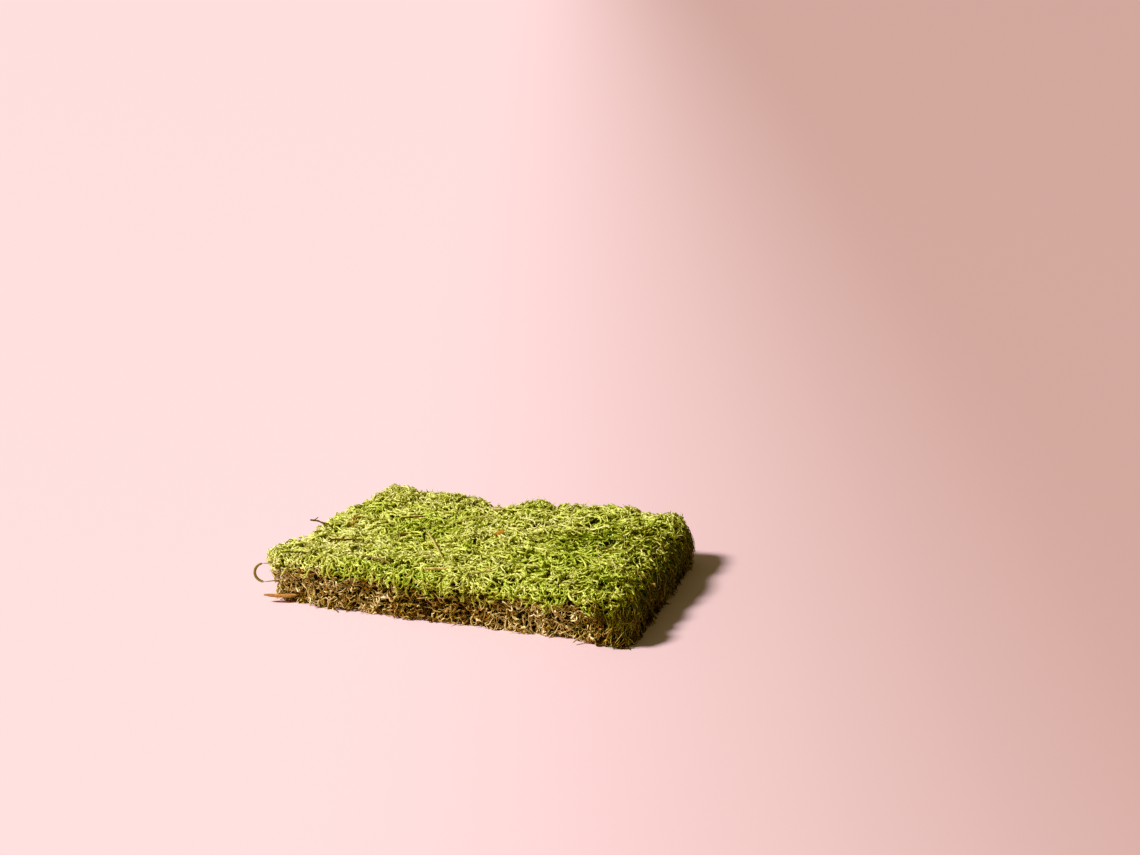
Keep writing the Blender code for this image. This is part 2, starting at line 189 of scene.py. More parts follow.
class Wire:
    """A socket of a material's nodes that can be used in sums."""

    def __init__(self, tree, socket=None):
        self.tree = tree
        self.socket = socket

    def node(self, kind, settings=None, sockets=None, output=0):
        made = self.tree.nodes.new(kind)
        for name, value in (settings or {}).items():
            if name == "stops":
                set_stops(made.color_ramp, value)
            else:
                setattr(made, name, value)
        for name, value in (sockets or {}).items():
            self.feed(made.inputs[name], value)
        return Wire(self.tree, made.outputs[output])

    def feed(self, socket, value):
        """Give a socket a wire, a number, a vector or a colour of three numbers."""
        if isinstance(value, Wire):
            self.tree.links.new(value.socket, socket)
        elif socket.type == "RGBA":
            socket.default_value = (*value, 1.0)
        else:
            socket.default_value = value

    def also(self, output):
        """Another output of the same node."""
        return Wire(self.tree, self.socket.node.outputs[output])

    def maths(self, operation, first, second):
        return self.node("ShaderNodeMath", {"operation": operation}, {0: first, 1: second})

    def __add__(self, other):
        return self.maths("ADD", self, other)

    def __radd__(self, other):
        return self.maths("ADD", other, self)

    def __sub__(self, other):
        return self.maths("SUBTRACT", self, other)

    def __rsub__(self, other):
        return self.maths("SUBTRACT", other, self)

    def __mul__(self, other):
        return self.maths("MULTIPLY", self, other)

    def __rmul__(self, other):
        return self.maths("MULTIPLY", other, self)

    def ranged(self, low, high, fade="SMOOTHSTEP"):
        """A value that goes from 0 to 1 as this one goes from low to high."""
        return self.node("ShaderNodeMapRange", {"interpolation_type": fade},
                         {"Value": self, "From Min": low, "From Max": high})

    def mixed(self, first, second):
        """A colour that goes from the first to the second as this value goes from 0 to 1."""
        return self.node("ShaderNodeMix", {"data_type": "RGBA"},
                         {0: self, MIX_FIRST: first, MIX_SECOND: second}, MIX_RESULT)

    def ramped(self, stops):
        """The colour that this value has on a ramp."""
        return self.node("ShaderNodeValToRGB", {"stops": stops}, {0: self})


def set_stops(ramp, stops):
    """Give a colour ramp its stops, a list of (place, colour)."""
    while len(ramp.elements) > 1:
        ramp.elements.remove(ramp.elements[-1])
    ramp.elements[0].position = stops[0][0]
    ramp.elements[0].color = (*stops[0][1], 1.0)
    for place, colour in stops[1:]:
        ramp.elements.new(place).color = (*colour, 1.0)


def new_finish(name, roughness, specular):
    """A new material with a plain shader: the material, the shader's sockets, a first wire."""
    material = bpy.data.materials.new(name)
    material.use_nodes = True
    shader = material.node_tree.nodes["Principled BSDF"].inputs
    shader["Roughness"].default_value = roughness
    shader["Specular IOR Level"].default_value = specular
    return material, shader, Wire(material.node_tree)


# %% [markdown]
# ## Floor
#
# The floor is plain, matt and pale pink.  It is palest on the lamp's side and turns a little
# deeper towards the picture's right, where less light would fall.  The lamp alone wouldn't make
# that fade, as a sun lights all of a plane alike, so the fade is painted shade: the floor's colour
# is a mix along that one direction.

# %% Floor
FLOOR_WIDTH = 24.0
FLOOR_LEFT = (0.80, 0.600, 0.640)
# The colour at the far end of the floor's painted shade, where the lamp's light would have fallen
# off.
FLOOR_PAINTED_SHADE = (0.51, 0.335, 0.310)
PICTURE_RIGHT = (0.928, 0.372, 0.0)
FLOOR_FROM = -0.13
FLOOR_TO = 0.57


def floor_finish():
    material, shader, wire = new_finish("pale_floor", roughness=0.85, specular=0.2)
    place = wire.node("ShaderNodeTexCoord", output="Object")
    right = wire.node("ShaderNodeVectorMath", {"operation": "DOT_PRODUCT"},
                      {0: place, 1: PICTURE_RIGHT}, output="Value")
    fade = right.ranged(FLOOR_FROM, FLOOR_TO)
    wire.feed(shader["Base Color"], fade.mixed(FLOOR_LEFT, FLOOR_PAINTED_SHADE))
    return material


bpy.ops.mesh.primitive_plane_add(size=FLOOR_WIDTH, location=(0.0, 0.0, 0.0))
floor = bpy.context.object
floor.name = "floor"
floor.data.materials.append(floor_finish())
floor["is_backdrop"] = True

# %% [markdown]
# ## The envelope
#
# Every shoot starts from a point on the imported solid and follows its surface.  So the solid is
# read once: its corners, its triangles, and for each corner a direction outwards.  The solid
# has flat facets, and shoots that stood square to each facet would show them, so the outward
# directions are averaged with their neighbours a few times.

# %% Read the envelope
SMOOTH_ROUNDS = 4
SAME_DIGITS = 6
TINY = 1e-12


def unit(vectors):
    """Vectors of length one, along the last axis."""
    return vectors / np.maximum(np.linalg.norm(vectors, axis=-1, keepdims=True), TINY)


def read_solid(item):
    """The corners, the triangles, each corner's smoothed outward direction, and for each
    triangle the cross product of two of its sides."""
    mesh = item.data
    corners = np.empty(len(mesh.vertices) * 3)
    mesh.vertices.foreach_get("co", corners)
    corners = corners.reshape(-1, 3)
    mesh.calc_loop_triangles()
    triangles = np.empty(len(mesh.loop_triangles) * 3, int)
    mesh.loop_triangles.foreach_get("vertices", triangles)
    triangles = triangles.reshape(-1, 3)
    same = np.unique(corners.round(SAME_DIGITS), axis=0, return_inverse=True)[1].ravel()
    ends = same[triangles]
    first, second, third = (corners[triangles[:, k]] for k in range(3))
    crosses = np.cross(second - first, third - first)
    outward = np.zeros((same.max() + 1, 3))
    for k in range(3):
        np.add.at(outward, ends[:, k], crosses)
    outward = unit(outward)
    for _round in range(SMOOTH_ROUNDS):
        around = outward.copy()
        for k in range(3):
            np.add.at(around, ends[:, k], outward[ends[:, k - 1]])
        outward = unit(around)
    return corners, triangles, outward[same], crosses


corners, triangles, outward, crosses = read_solid(mat_solid)
face_area = np.linalg.norm(crosses, axis=1) / 2.0
# The lean is 1 where a triangle looks straight up, 0 where it is upright and -1 where it looks
# straight down.
face_lean = crosses[:, Z] / np.maximum(2.0 * face_area, TINY)
face_middle = corners[triangles].mean(axis=1)
envelope = BVHTree.FromPolygons([Vector(c) for c in corners], triangles.tolist())
mat_low, mat_high = corners.min(axis=0), corners.max(axis=0)
print(len(triangles), "triangles,", round(face_area.sum() * 1e4), "square centimetres")

# %% [markdown]
# What grows where is told by soft noise, by round patches and by the way from the mat's edges.
# A painted mask would need an image, and these few functions follow the solid instead.

# %% Noise, patches and edges
NOISE_SHIFT = (7.31, 3.17, 5.53)
NOISE_GAIN = 1.6
DRAPE_REACH = 23 * MM
LEFT_REACH = 50 * MM
END_REACH = 30 * MM
FRONT_REACH = 20 * MM


def wave(places, pitch, seed):
    """Soft noise from about -1 to 1 at each place, with lumps about one pitch apart."""
    shift = Vector([seed * part for part in NOISE_SHIFT])
    return np.array([noise.noise(Vector(place) / pitch + shift) for place in places]) * NOISE_GAIN


def patches(places, spots):
    """The sum of soft round patches, each with its middle, reach and strength."""
    total = np.zeros(len(places))
    for x, y, reach, strength in spots:
        away = (places[:, X] - x) ** 2 + (places[:, Y] - y) ** 2
        total += strength * np.exp(-away / reach**2)
    return total


def near(places, axis, edge, reach):
    """From 1 at an edge of the mat to 0 well away from it, along one axis."""
    return np.exp(-(((places[:, axis] - edge) / reach) ** 2))


def near_left_end(places):
    return near(places, X, mat_low[X], LEFT_REACH)


def near_right_end(places):
    return near(places, X, mat_high[X], END_REACH)


def near_front(places):
    return near(places, Y, mat_low[Y], FRONT_REACH)


def near_front_corner(places):
    """From 1 at the front right corner to 0 well away from it."""
    return patches(places, [(mat_high[X], mat_low[Y], DRAPE_REACH, 1.0)])


# %% [markdown]
# The green shoots cover the top and hang a little over the sides.  Below a ragged line the
# sides are brown.  The line lies lowest at the front right corner, where long shoots hang over
# the edge, and highest at the left end.  Along the front it has a few dips and rises.

# %% Where green turns to brown
GREEN_LINE = 29.5 * MM
GREEN_LINE_WAVE = 4.0 * MM
GREEN_LINE_PITCH = 22 * MM
DRAPE_DROP = 16 * MM
LEFT_RISE = 8 * MM
RIGHT_RISE = 2.5 * MM
RIGHT_REACH = 12 * MM
GREEN_DIPS = [
    (0.022, -0.108, 0.018, 6.0 * MM),
    (0.070, -0.108, 0.020, -2.5 * MM),
    (0.135, -0.108, 0.010, -5.0 * MM),
    (-0.089, -0.108, 0.014, -4.0 * MM),
    (-0.150, -0.105, 0.014, 9.0 * MM),
]
UNDERSIDE_LEAN = -0.85
UNDERSIDE_HEIGHT = 1.0 * MM


def green_line(places):
    """The height below which the side is brown, at each place."""
    line = GREEN_LINE + GREEN_LINE_WAVE * wave(places * (1, 1, 0), GREEN_LINE_PITCH, seed=1)
    return (line - DRAPE_DROP * near_front_corner(places)
            + RIGHT_RISE * near(places, X, mat_high[X], RIGHT_REACH)
            + LEFT_RISE * near_left_end(places) - patches(places, GREEN_DIPS))


face_under = (face_lean < UNDERSIDE_LEAN) & (face_middle[:, Z] < UNDERSIDE_HEIGHT)
face_green = (face_middle[:, Z] > green_line(face_middle)) & ~face_under
face_brown = ~face_green & ~face_under
for name, part in (("green", face_green), ("brown", face_brown), ("under", face_under)):
    print(name, round(face_area[part].sum() * 1e4), "square centimetres")

# %% [markdown]
# Shoots stand about equally close everywhere, whatever the size of the solid's triangles.  So
# their roots are drawn by area: the triangles are laid in a row, each as long as it is large,
# and one root falls in each of many equal steps along the row.

# %% Spread points evenly over part of the envelope
def spread(count, weight, rng):
    """Points on the envelope and their outward directions, evenly by area times weight."""
    shares = np.cumsum(face_area * weight)
    steps = (np.arange(count) + rng.random(count)) / count * shares[-1]
    face = np.searchsorted(shares, steps).clip(0, len(triangles) - 1)
    across, back = rng.random((2, count))
    fold = across + back > 1.0
    across = np.where(fold, 1.0 - across, across)
    back = np.where(fold, 1.0 - back, back)
    parts = np.stack([1.0 - across - back, across, back], 1)[:, :, None]
    places = (corners[triangles[face]] * parts).sum(1)
    directions = unit((outward[triangles[face]] * parts).sum(1))
    return places, directions


def on_envelope(places):
    """The nearest points of the envelope, and the outward directions there."""
    found = [envelope.find_nearest(Vector(place)) for place in places]
    faces = triangles[[hit[2] for hit in found]]
    return np.array([hit[0] for hit in found]), unit(outward[faces].mean(axis=1))


# %% [markdown]
# ## A shoot
#
# A shoot's middle line is a smooth curve through seven knots.  Blender's curve objects could
# draw it, one object for each shoot, but there are thousands.  So the places along all the
# curves are worked out at once.

# %% Smooth lines through knots
KNOTS = 7
# The up direction is bent by this much, so that it never lies quite along a line's heading.
UP_BEND = 0.21


def square_to(vectors, directions):
    """Vectors of length one that are these without their part along the directions."""
    return unit(vectors - directions * (vectors * directions).sum(-1, keepdims=True))


def line_at(knots, shares):
    """The places and headings at these shares of the way along smooth lines through knots."""
    last = knots.shape[1] - 1
    spot = (shares * last).clip(0.0, last - 1e-6)
    cell = np.floor(spot).astype(int)
    step = (spot - cell)[..., None]

    def knot(ahead):
        chosen = (cell + ahead).clip(0, last)[..., None]
        return np.take_along_axis(knots, np.broadcast_to(chosen, (*cell.shape, 3)), axis=1)

    before, here, after, later = (knot(ahead) for ahead in (-1, 0, 1, 2))
    second = 2.0 * before - 5.0 * here + 4.0 * after - later
    third = -before + 3.0 * here - 3.0 * after + later
    places = 0.5 * (2.0 * here + (after - before) * step + second * step**2 + third * step**3)
    headings = unit(after - before + 2.0 * second * step + 3.0 * third * step**2)
    return places, headings


def axes_along(knots, shares, ups):
    """At these shares: the places, the headings, and two directions square to the headings."""
    places, headings = line_at(knots, shares)
    bent_up = ups[:, None] + UP_BEND * np.roll(ups, 1, axis=1)[:, None]
    rise = square_to(bent_up, headings)
    return places, headings, rise, np.cross(headings, rise)


def turned(rise, side, angle):
    """Two directions that are square to each other, both turned by an angle."""
    return (np.cos(angle) * rise + np.sin(angle) * side,
            np.cos(angle) * side - np.sin(angle) * rise)


# %% [markdown]
# On the line grow a thin stem and small leaves in a spiral.  Moss leaves sit a golden angle
# apart round the stem, lean forward and close over the tip.  Each leaf is two triangles that
# meet along its midrib.  For shading it borrows the outward direction of the whole shoot, bent
# a little to each side, so a shoot looks like one soft rope and not like a heap of chips.

# %% Stems
STEM_SWELL = (0.20, 0.785, 0.6)
# The corners round a stem are turned by this, so that no two share their place on the map.
COLOUR_TURN = 0.4


def swell(share, start, span, power):
    """A stretch of a half wave, raised to a power: slim ends and a full middle."""
    return np.sin(np.pi * (start + span * share)) ** power


def give_or_take(amount, shape, rng):
    """Random numbers round zero that span this amount."""
    return amount * (rng.random(shape) - 0.5)


def as_part(points, faces, along, beside, normals):
    """A part for join_parts: points, triangles, places along and beside, owners and normals.

    points has an axis for the shoots, one for the places along them and one for the corners."""
    owner = np.arange(len(points))[:, None, None]
    columns = (np.broadcast_to(column, points.shape[:3]).ravel()
               for column in (along, beside, owner))
    return (points.reshape(-1, 3), faces, *columns, normals.reshape(-1, 3))


def stems(knots, ups, sides, rings, radius, flatness=1.0, rough=0.0, twist=0.0, rng=None):
    """Tubes along the curves, as a part.

    flatness is their thickness over their width, and twist how many radians they may turn."""
    count = len(knots)
    shares = np.broadcast_to(np.linspace(0.0, 1.0, rings), (count, rings))
    places, _headings, rise, side = axes_along(knots, shares, ups)
    taper = swell(shares, *STEM_SWELL)
    if rough:
        taper = taper * (1.0 + give_or_take(rough, (count, rings), rng))
    if twist:
        spin = (twist * rng.uniform(-1.0, 1.0, (count, 1)) * shares
                + np.pi * rng.random((count, 1)))[..., None]
        rise, side = turned(rise, side, spin)
    angle = 2.0 * np.pi * np.arange(sides) / sides
    up_part = np.cos(angle)[:, None] * rise[:, :, None]
    side_part = np.sin(angle)[:, None] * side[:, :, None]
    wide = (radius[:, None] * taper)[..., None, None]
    points = places[:, :, None] + wide * (flatness * up_part + side_part)
    index = np.arange(count * rings * sides).reshape(count, rings, sides)
    low, high = index[:, :-1], index[:, 1:]
    low_next, high_next = np.roll(low, -1, axis=2), np.roll(high, -1, axis=2)
    faces = np.concatenate([np.stack([low, low_next, high_next], -1).reshape(-1, 3),
                            np.stack([low, high_next, high], -1).reshape(-1, 3)])
    return as_part(points, faces, shares[..., None], np.cos(angle + COLOUR_TURN),
                   unit(up_part + flatness * side_part))


# %% Leaves
GOLDEN_ANGLE = math.pi * (3.0 - math.sqrt(5.0))
LEAF_FIRST = 0.15
LEAF_STEP_JITTER = 0.3
LEAF_TURN_JITTER = 0.5
LEAF_LEAN = math.radians(9.0)
LEAF_CLOSING = 0.55
LEAF_SWELL = (0.22, 0.60, 0.7)
LEAF_FOOT = 0.7
LEAF_WIDEST = 0.38
LEAF_CUP = 0.16
LEAF_TIP_CURL = 0.08
# For the foot, one side, the tip and the other side of a leaf: how much further its colour
# lies along the shoot, and how far beside the middle.
LEAF_ALONG = np.array([0.0, 0.07, 0.18, 0.07])
LEAF_BESIDE = np.array([0.0, 1.0, 0.0, -1.0])
LEAF_KEEL = 0.45
LEAF_TIP_SHINE = 0.4


def varied(shape, rng):
    """Random factors from 0.8 to 1.2."""
    return 0.8 + 0.4 * rng.random(shape)


def leaves(knots, ups, per_shoot, length, width, stem, rng):
    """Leaves in a spiral round stems of this radius, as a part."""
    shape = (len(knots), per_shoot)
    step = (np.arange(per_shoot) + 0.5) / per_shoot
    step = step + give_or_take(LEAF_STEP_JITTER / per_shoot, shape, rng)
    shares = LEAF_FIRST + (1.0 - LEAF_FIRST) * step
    places, headings, rise, side = axes_along(knots, shares, ups)
    turn = (np.arange(per_shoot) * GOLDEN_ANGLE + rng.random((len(knots), 1)) * 2.0 * np.pi
            + give_or_take(LEAF_TURN_JITTER, shape, rng))
    radial = turned(rise, side, turn[..., None])[0]
    across = np.cross(headings, radial)
    closing = 1.0 - LEAF_CLOSING * shares**3
    tilt = (LEAF_LEAN * closing * varied(shape, rng))[..., None]
    reach = np.cos(tilt) * headings + np.sin(tilt) * radial
    size = swell(shares, *LEAF_SWELL) * varied(shape, rng)
    long = (length[:, None] * size)[..., None]
    wide = (width[:, None] * size)[..., None]
    foot = places + LEAF_FOOT * (stem[:, None] * size)[..., None] * radial
    middle = foot + LEAF_WIDEST * long * reach - LEAF_CUP * wide * radial
    tip = foot + long * reach - LEAF_TIP_CURL * long * radial
    points = np.stack([foot, middle + wide / 2.0 * across, tip, middle - wide / 2.0 * across], 2)
    normals = np.stack([radial, radial + LEAF_KEEL * across, radial + LEAF_TIP_SHINE * headings,
                        radial - LEAF_KEEL * across], 2)
    index = np.arange(points.size // 3).reshape(-1, 4)
    faces = np.concatenate([index[:, (0, 1, 2)], index[:, (0, 2, 3)]])
    return as_part(points, faces, shares[..., None] + LEAF_ALONG, LEAF_BESIDE, unit(normals))


# %% [markdown]
# ## Colour places
#
# All the colours of a shoot depend on two numbers: what kind of shoot it is, from dead and
# brown to deep green, and how far along it a point lies.  They are kept in a UV map.  The
# finish reads nothing else, so it bakes without loss although the shoots overlap on the map:
# two points that share a place there share their colour too.

# %% Join shoots into one mesh
COLOUR_MAP = "OFBake"
COLOUR_PLACE_WIDTH = 0.004
ALONG_SCALE = 0.80
MAP_EDGE = 0.002
FLOOR_GAP = 0.15 * MM


def new_item(name, points, faces, places, finish, normals=None):
    """One object from triangles; places has the map place of each triangle's three corners."""
    mesh = bpy.data.meshes.new(name)
    mesh.vertices.add(len(points))
    mesh.vertices.foreach_set("co", points.ravel())
    mesh.loops.add(faces.size)
    mesh.loops.foreach_set("vertex_index", faces.ravel())
    mesh.polygons.add(len(faces))
    mesh.polygons.foreach_set("loop_start", np.arange(0, faces.size, 3))
    mesh.update(calc_edges=True)
    places = places.clip(MAP_EDGE, 1.0 - MAP_EDGE).astype(np.float32)
    mesh.uv_layers.new(name=COLOUR_MAP).uv.foreach_set("vector", places.ravel())
    if normals is not None:
        mesh.normals_split_custom_set_from_vertices(normals)
    mesh.materials.append(finish)
    return add_object(name, mesh)


def join(parts):
    """The points of some parts, kept off the floor, and their triangles."""
    points = np.concatenate([part[0] for part in parts])
    points[:, Z] = np.maximum(points[:, Z], FLOOR_GAP)
    starts = np.cumsum([0] + [len(part[0]) for part in parts[:-1]])
    faces = np.concatenate([part[1] + start for part, start in zip(parts, starts)])
    return points, faces


def join_parts(name, parts, kinds, finish, shade=0.0):
    """One object from stems and leaves.

    kinds has each shoot's colour kind, from 0 to 1; shade moves its colours towards the dark base,
    mostly as painted shade, and a shade below 0 moves them towards the tip."""
    points, faces = join(parts)
    along, beside, owner, normals = (np.concatenate(column) for column in list(zip(*parts))[2:])
    kind = kinds[owner] + beside * COLOUR_PLACE_WIDTH
    along = along * ALONG_SCALE - np.broadcast_to(shade, len(kinds))[owner]
    places = np.stack([kind, along], 1)
    print(f"{name}: {len(kinds)} shoots, {len(faces)} triangles")
    return new_item(name, points, faces, places[faces], finish, normals)


def dress(item, node="moss_mat"):
    """Tie a piece to the mat: it rides on its body and stands for a solid, which is hidden."""
    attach(item, "root")
    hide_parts(node)


# %% [markdown]
# ## Moss finish
#
# Living moss is yellow-green over most of its length and a dark olive brown at its base.  Some
# shoots are straw-coloured or rusty all over.  One colour ramp holds the kinds of tips and one
# the kinds of bases, and the way along the shoot mixes them.  Dead stems have one ramp, from
# nearly black over straw to rust and dull green.

# %% Moss and dead stems
TIP_COLOURS = [
    (0.00, (0.330, 0.160, 0.045)),
    (0.07, (0.560, 0.260, 0.050)),
    (0.13, (0.710, 0.520, 0.160)),
    (0.24, (0.835, 0.800, 0.350)),
    (0.45, (0.760, 0.775, 0.205)),
    (0.68, (0.575, 0.665, 0.095)),
    (0.86, (0.290, 0.440, 0.030)),
    (1.00, (0.100, 0.220, 0.012)),
]
BASE_COLOURS = [
    (0.00, (0.090, 0.036, 0.001)),
    (0.13, (0.170, 0.105, 0.001)),
    (0.30, (0.200, 0.165, 0.001)),
    (0.60, (0.150, 0.155, 0.001)),
    (1.00, (0.030, 0.060, 0.001)),
]
STEM_COLOURS = [
    (0.00, (0.026, 0.006, 0.001)),
    (0.20, (0.150, 0.068, 0.016)),
    (0.42, (0.395, 0.242, 0.082)),
    (0.62, (0.710, 0.545, 0.240)),
    (0.80, (0.890, 0.770, 0.420)),
    (0.90, (0.540, 0.210, 0.025)),
    (1.00, (0.380, 0.350, 0.030)),
]
BASE_UNTIL = 0.06
TIP_FROM = 0.42


def map_place(wire):
    """A point's place on the colour map: its kind and its way along the shoot."""
    return wire.node("ShaderNodeUVMap", {"uv_map": COLOUR_MAP})


def streaks(wire, place, across, lengthwise):
    """Fine streaks that differ from shoot to shoot and change slowly along each."""
    stretched = wire.node("ShaderNodeVectorMath", {"operation": "MULTIPLY"},
                          {0: place, 1: (across, lengthwise, 1.0)})
    return wire.node("ShaderNodeTexNoise", {}, {"Vector": stretched, "Scale": 1.0, "Detail": 2.0})


def moss_finish():
    material, shader, wire = new_finish("living_moss", roughness=0.34, specular=0.45)
    place = map_place(wire)
    kind = wire.node("ShaderNodeSeparateXYZ", {}, {0: place})
    grown = kind.also("Y").ranged(BASE_UNTIL, TIP_FROM)
    colour = grown.mixed(kind.ramped(BASE_COLOURS), kind.ramped(TIP_COLOURS))
    streak = streaks(wire, place, across=260.0, lengthwise=9.0)
    shade = wire.node("ShaderNodeHueSaturation", {},
                      {"Hue": 0.5 + (streak - 0.5) * 0.05, "Value": 0.72 + streak * 0.56,
                       "Color": colour})
    wire.feed(shader["Base Color"], shade)
    return material


def stem_finish():
    material, shader, wire = new_finish("dead_stems", roughness=0.62, specular=0.25)
    place = map_place(wire)
    kind = wire.node("ShaderNodeSeparateXYZ", {}, {0: place})
    streak = streaks(wire, place, across=300.0, lengthwise=12.0)
    shade = wire.node("ShaderNodeHueSaturation", {},
                      {"Value": 0.45 + streak * 0.9 + kind.also("Y") * 0.3,
                       "Color": kind.ramped(STEM_COLOURS)})
    wire.feed(shader["Base Color"], shade)
    return material


living_moss = moss_finish()
dead_stems = stem_finish()

# %% [markdown]
# ## Where litter lies
#
# A twig on the moss presses the shoots under it down, and few shoots cross over it.  So the
# knots that come close to a piece of litter are pushed into the mat.  Two bits are half hidden
# by the moss, and they press nothing.

# %% Press shoots under the litter
HALF_HIDDEN = ("orange_leaf_bit", "bark_bit")
PRESS_REACH = 2.8 * MM
PRESS_DEPTH = 2.4 * MM


def litter_tree():
    """A search tree of all the litter's triangles."""
    joined = bmesh.new()
    for node in litter_nodes:
        if node.name not in HALF_HIDDEN:
            joined.from_mesh(node.data)
    tree = BVHTree.FromBMesh(joined)
    joined.free()
    return tree


litter = litter_tree()


def press(knots, directions):
    """Lower the knots near the litter."""
    touched = np.array([litter.find_nearest(Vector(place), PRESS_REACH)[0] is not None
                        for place in knots.reshape(-1, 3)]).reshape(knots.shape[:2])
    return knots - directions * PRESS_DEPTH * touched[..., None]


# %% [markdown]
# ## Curling lines
#
# Real shoots curl, so a line is made the way a plotter would draw it: at each step the heading
# turns a little more, and some shoots turn almost all the way back.  After each step the line
# is laid on the envelope again, so it wraps round the rim.  Then each knot is set at its depth:
# deep at the root, close under the envelope along the way, and free at the tip.

# %% Lines that curl along the envelope
ROOT_SHARE = 0.30
TIP_SHARE = 0.35
END_POWER = 1.3
STRAIGHT_SHARE = 0.45
WIGGLE = 0.35


def tangents(directions, rng, bias=None, pull=0.0):
    """A random direction along the surface at each point, drawn towards bias by pull."""
    random = rng.normal(size=directions.shape)
    if bias is not None:
        random = square_to(random, directions) + pull * bias
    return square_to(random, directions)


def curling_lines(places, directions, rng, length, root, depth, lift, turn, arch=0.0, bias=None,
                  pull=0.0):
    """Lines that rise from a root, curl along the envelope at a depth and lift their tips.

    length, root, depth and lift are pairs, the least and the most, in mm; turn is how many
    radians a line turns on the whole, give or take; arch is how high its middle may stand, in
    mm; pull is how strongly it sets off towards bias."""
    count = len(places)

    def between(pair):
        return rng.uniform(pair[0] * MM, pair[1] * MM, (count, 1))

    share = np.linspace(0.0, 1.0, KNOTS)
    turning = rng.normal(0.0, turn, (count, 1))
    wiggle = rng.normal(0.0, WIGGLE * turn, (count, 1))
    heading = (turning * (share - STRAIGHT_SHARE)
               + wiggle * np.sin(2.0 * np.pi * (share + rng.random((count, 1)))))
    step = between(length) / (KNOTS - 1)
    along = tangents(directions, rng, bias, pull)
    knots, outwards = [places], [directions]
    for knot in range(1, KNOTS):
        side = np.cross(outwards[-1], along)
        ahead = (np.cos(heading[:, knot:knot + 1]) * along
                 + np.sin(heading[:, knot:knot + 1]) * side)
        spot, out = on_envelope(knots[-1] + step * ahead)
        knots.append(spot)
        outwards.append(out)
        along = square_to(along, out)
    knots, outwards = np.stack(knots, 1), np.stack(outwards, 1)
    to_root = (1.0 - share / ROOT_SHARE).clip(0.0) ** END_POWER
    to_tip = ((share - 1.0 + TIP_SHARE) / TIP_SHARE).clip(0.0) ** END_POWER
    running = between(depth)
    drop = (running + (between(root) - running) * to_root - between(lift) * to_tip
            - arch * MM * rng.random((count, 1)) * np.sin(np.pi * share))
    return press(knots - outwards * drop[..., None], outwards)


def grow(count, weight, rng, **curl):
    """Roots all over part of the envelope: their places, outward directions and lines."""
    places, directions = spread(count, weight, rng)
    return places, directions, curling_lines(places, directions, rng, **curl)


def together(*groups):
    """Some groups of places, directions and lines as one."""
    return [np.concatenate(column) for column in zip(*groups)]


# %% [markdown]
# ## Green shoots
#
# Neighbouring shoots are alike, so a shoot's kind follows soft noise.  Patches of it are paler or
# greener, as in the photograph, and three small spots are golden.  The front rim is lime green.
# Shoots show more of their dark bases where they run deep, partly as older shoots and partly as
# painted shade.  Painted shade also darkens some patches and the right end's sides, which face
# away from the lamp, and painted light brightens the front rim and a few lit patches.

# %% Kinds of green
USUAL_GREEN = 0.45
GREEN_WAVES = [(0.12, 45 * MM, 3), (0.09, 14 * MM, 4)]
GREEN_VARIETY = 0.08
GOLDEN_SPOTS = [
    (0.029, 0.028, 0.006, -0.34),
    (0.061, -0.030, 0.006, -0.30),
    (0.123, -0.041, 0.007, -0.30),
]
TINTS = [
    (0.087, 0.019, 0.030, 0.18),
    (0.131, -0.076, 0.012, 0.12),
    (-0.054, -0.004, 0.011, 0.16),
    (-0.081, -0.002, 0.010, 0.14),
    (0.085, -0.030, 0.025, 0.12),
    (-0.060, 0.020, 0.022, 0.12),
    (0.140, 0.030, 0.050, 0.12),
    (-0.120, -0.030, 0.065, -0.06),
    (-0.100, 0.075, 0.050, -0.02),
]
# Patches that move the shoots' colours towards their dark bases, and towards their tips where the
# strength is below 0: mostly painted shade where the top lies in shade and painted light where it
# is lit, partly the moss's own tone.
SHADES = [
    (0.087, 0.019, 0.032, 0.22),
    (0.131, -0.076, 0.012, 0.20),
    (-0.054, -0.004, 0.014, 0.24),
    (-0.081, -0.002, 0.010, 0.12),
    (-0.070, -0.086, 0.013, -0.12),
    (0.128, -0.032, 0.014, -0.20),
    (0.140, 0.025, 0.050, 0.20),
    (0.115, -0.070, 0.030, 0.12),
    (-0.120, -0.030, 0.080, -0.12),
]
GOLDEN_KIND, PALEST_KIND, DEEPEST_KIND = 0.12, 0.26, 0.97
RUSTY_SHARE = 0.004
RUSTY_UNTIL = 0.15
FRONT_LIME = 0.18
# Painted light: the shoots of the front rim, which catches the lamp, are a little lighter in
# colour.
FRONT_LIGHT = 0.02
# Painted shade: on the right end's sides, which face away from the lamp, the shoots' colours move
# to their dark bases.
END_SHADE = 0.92
END_SHADE_FROM = 0.9
# Shoots that run deep are darker in colour: partly their own older, browner colour, partly painted
# shade, as less light reaches them.
DEPTH_SHADE = 0.035 / MM
DEPTH_SHADE_LIMITS = (-0.01, 0.16)
USUAL_DEPTH = 2.0 * MM
SHADE_VARIETY = 0.04


def shoot_kinds(places, rng):
    """Each shoot's place on the colour ramps: patches, and some strays in each."""
    kind = USUAL_GREEN
    for strength, pitch, seed in GREEN_WAVES:
        kind = kind + strength * wave(places, pitch, seed)
    kind += rng.normal(0.0, GREEN_VARIETY, len(places)) + patches(places, TINTS)
    kind += FRONT_LIME * near_front(places) * (1.0 - near_left_end(places))
    kind = kind.clip(PALEST_KIND, DEEPEST_KIND) + patches(places, GOLDEN_SPOTS)
    kind = kind.clip(GOLDEN_KIND, DEEPEST_KIND)
    stray = rng.random(len(places)) < RUSTY_SHARE
    return np.where(stray, rng.uniform(0.0, RUSTY_UNTIL, len(places)), kind)


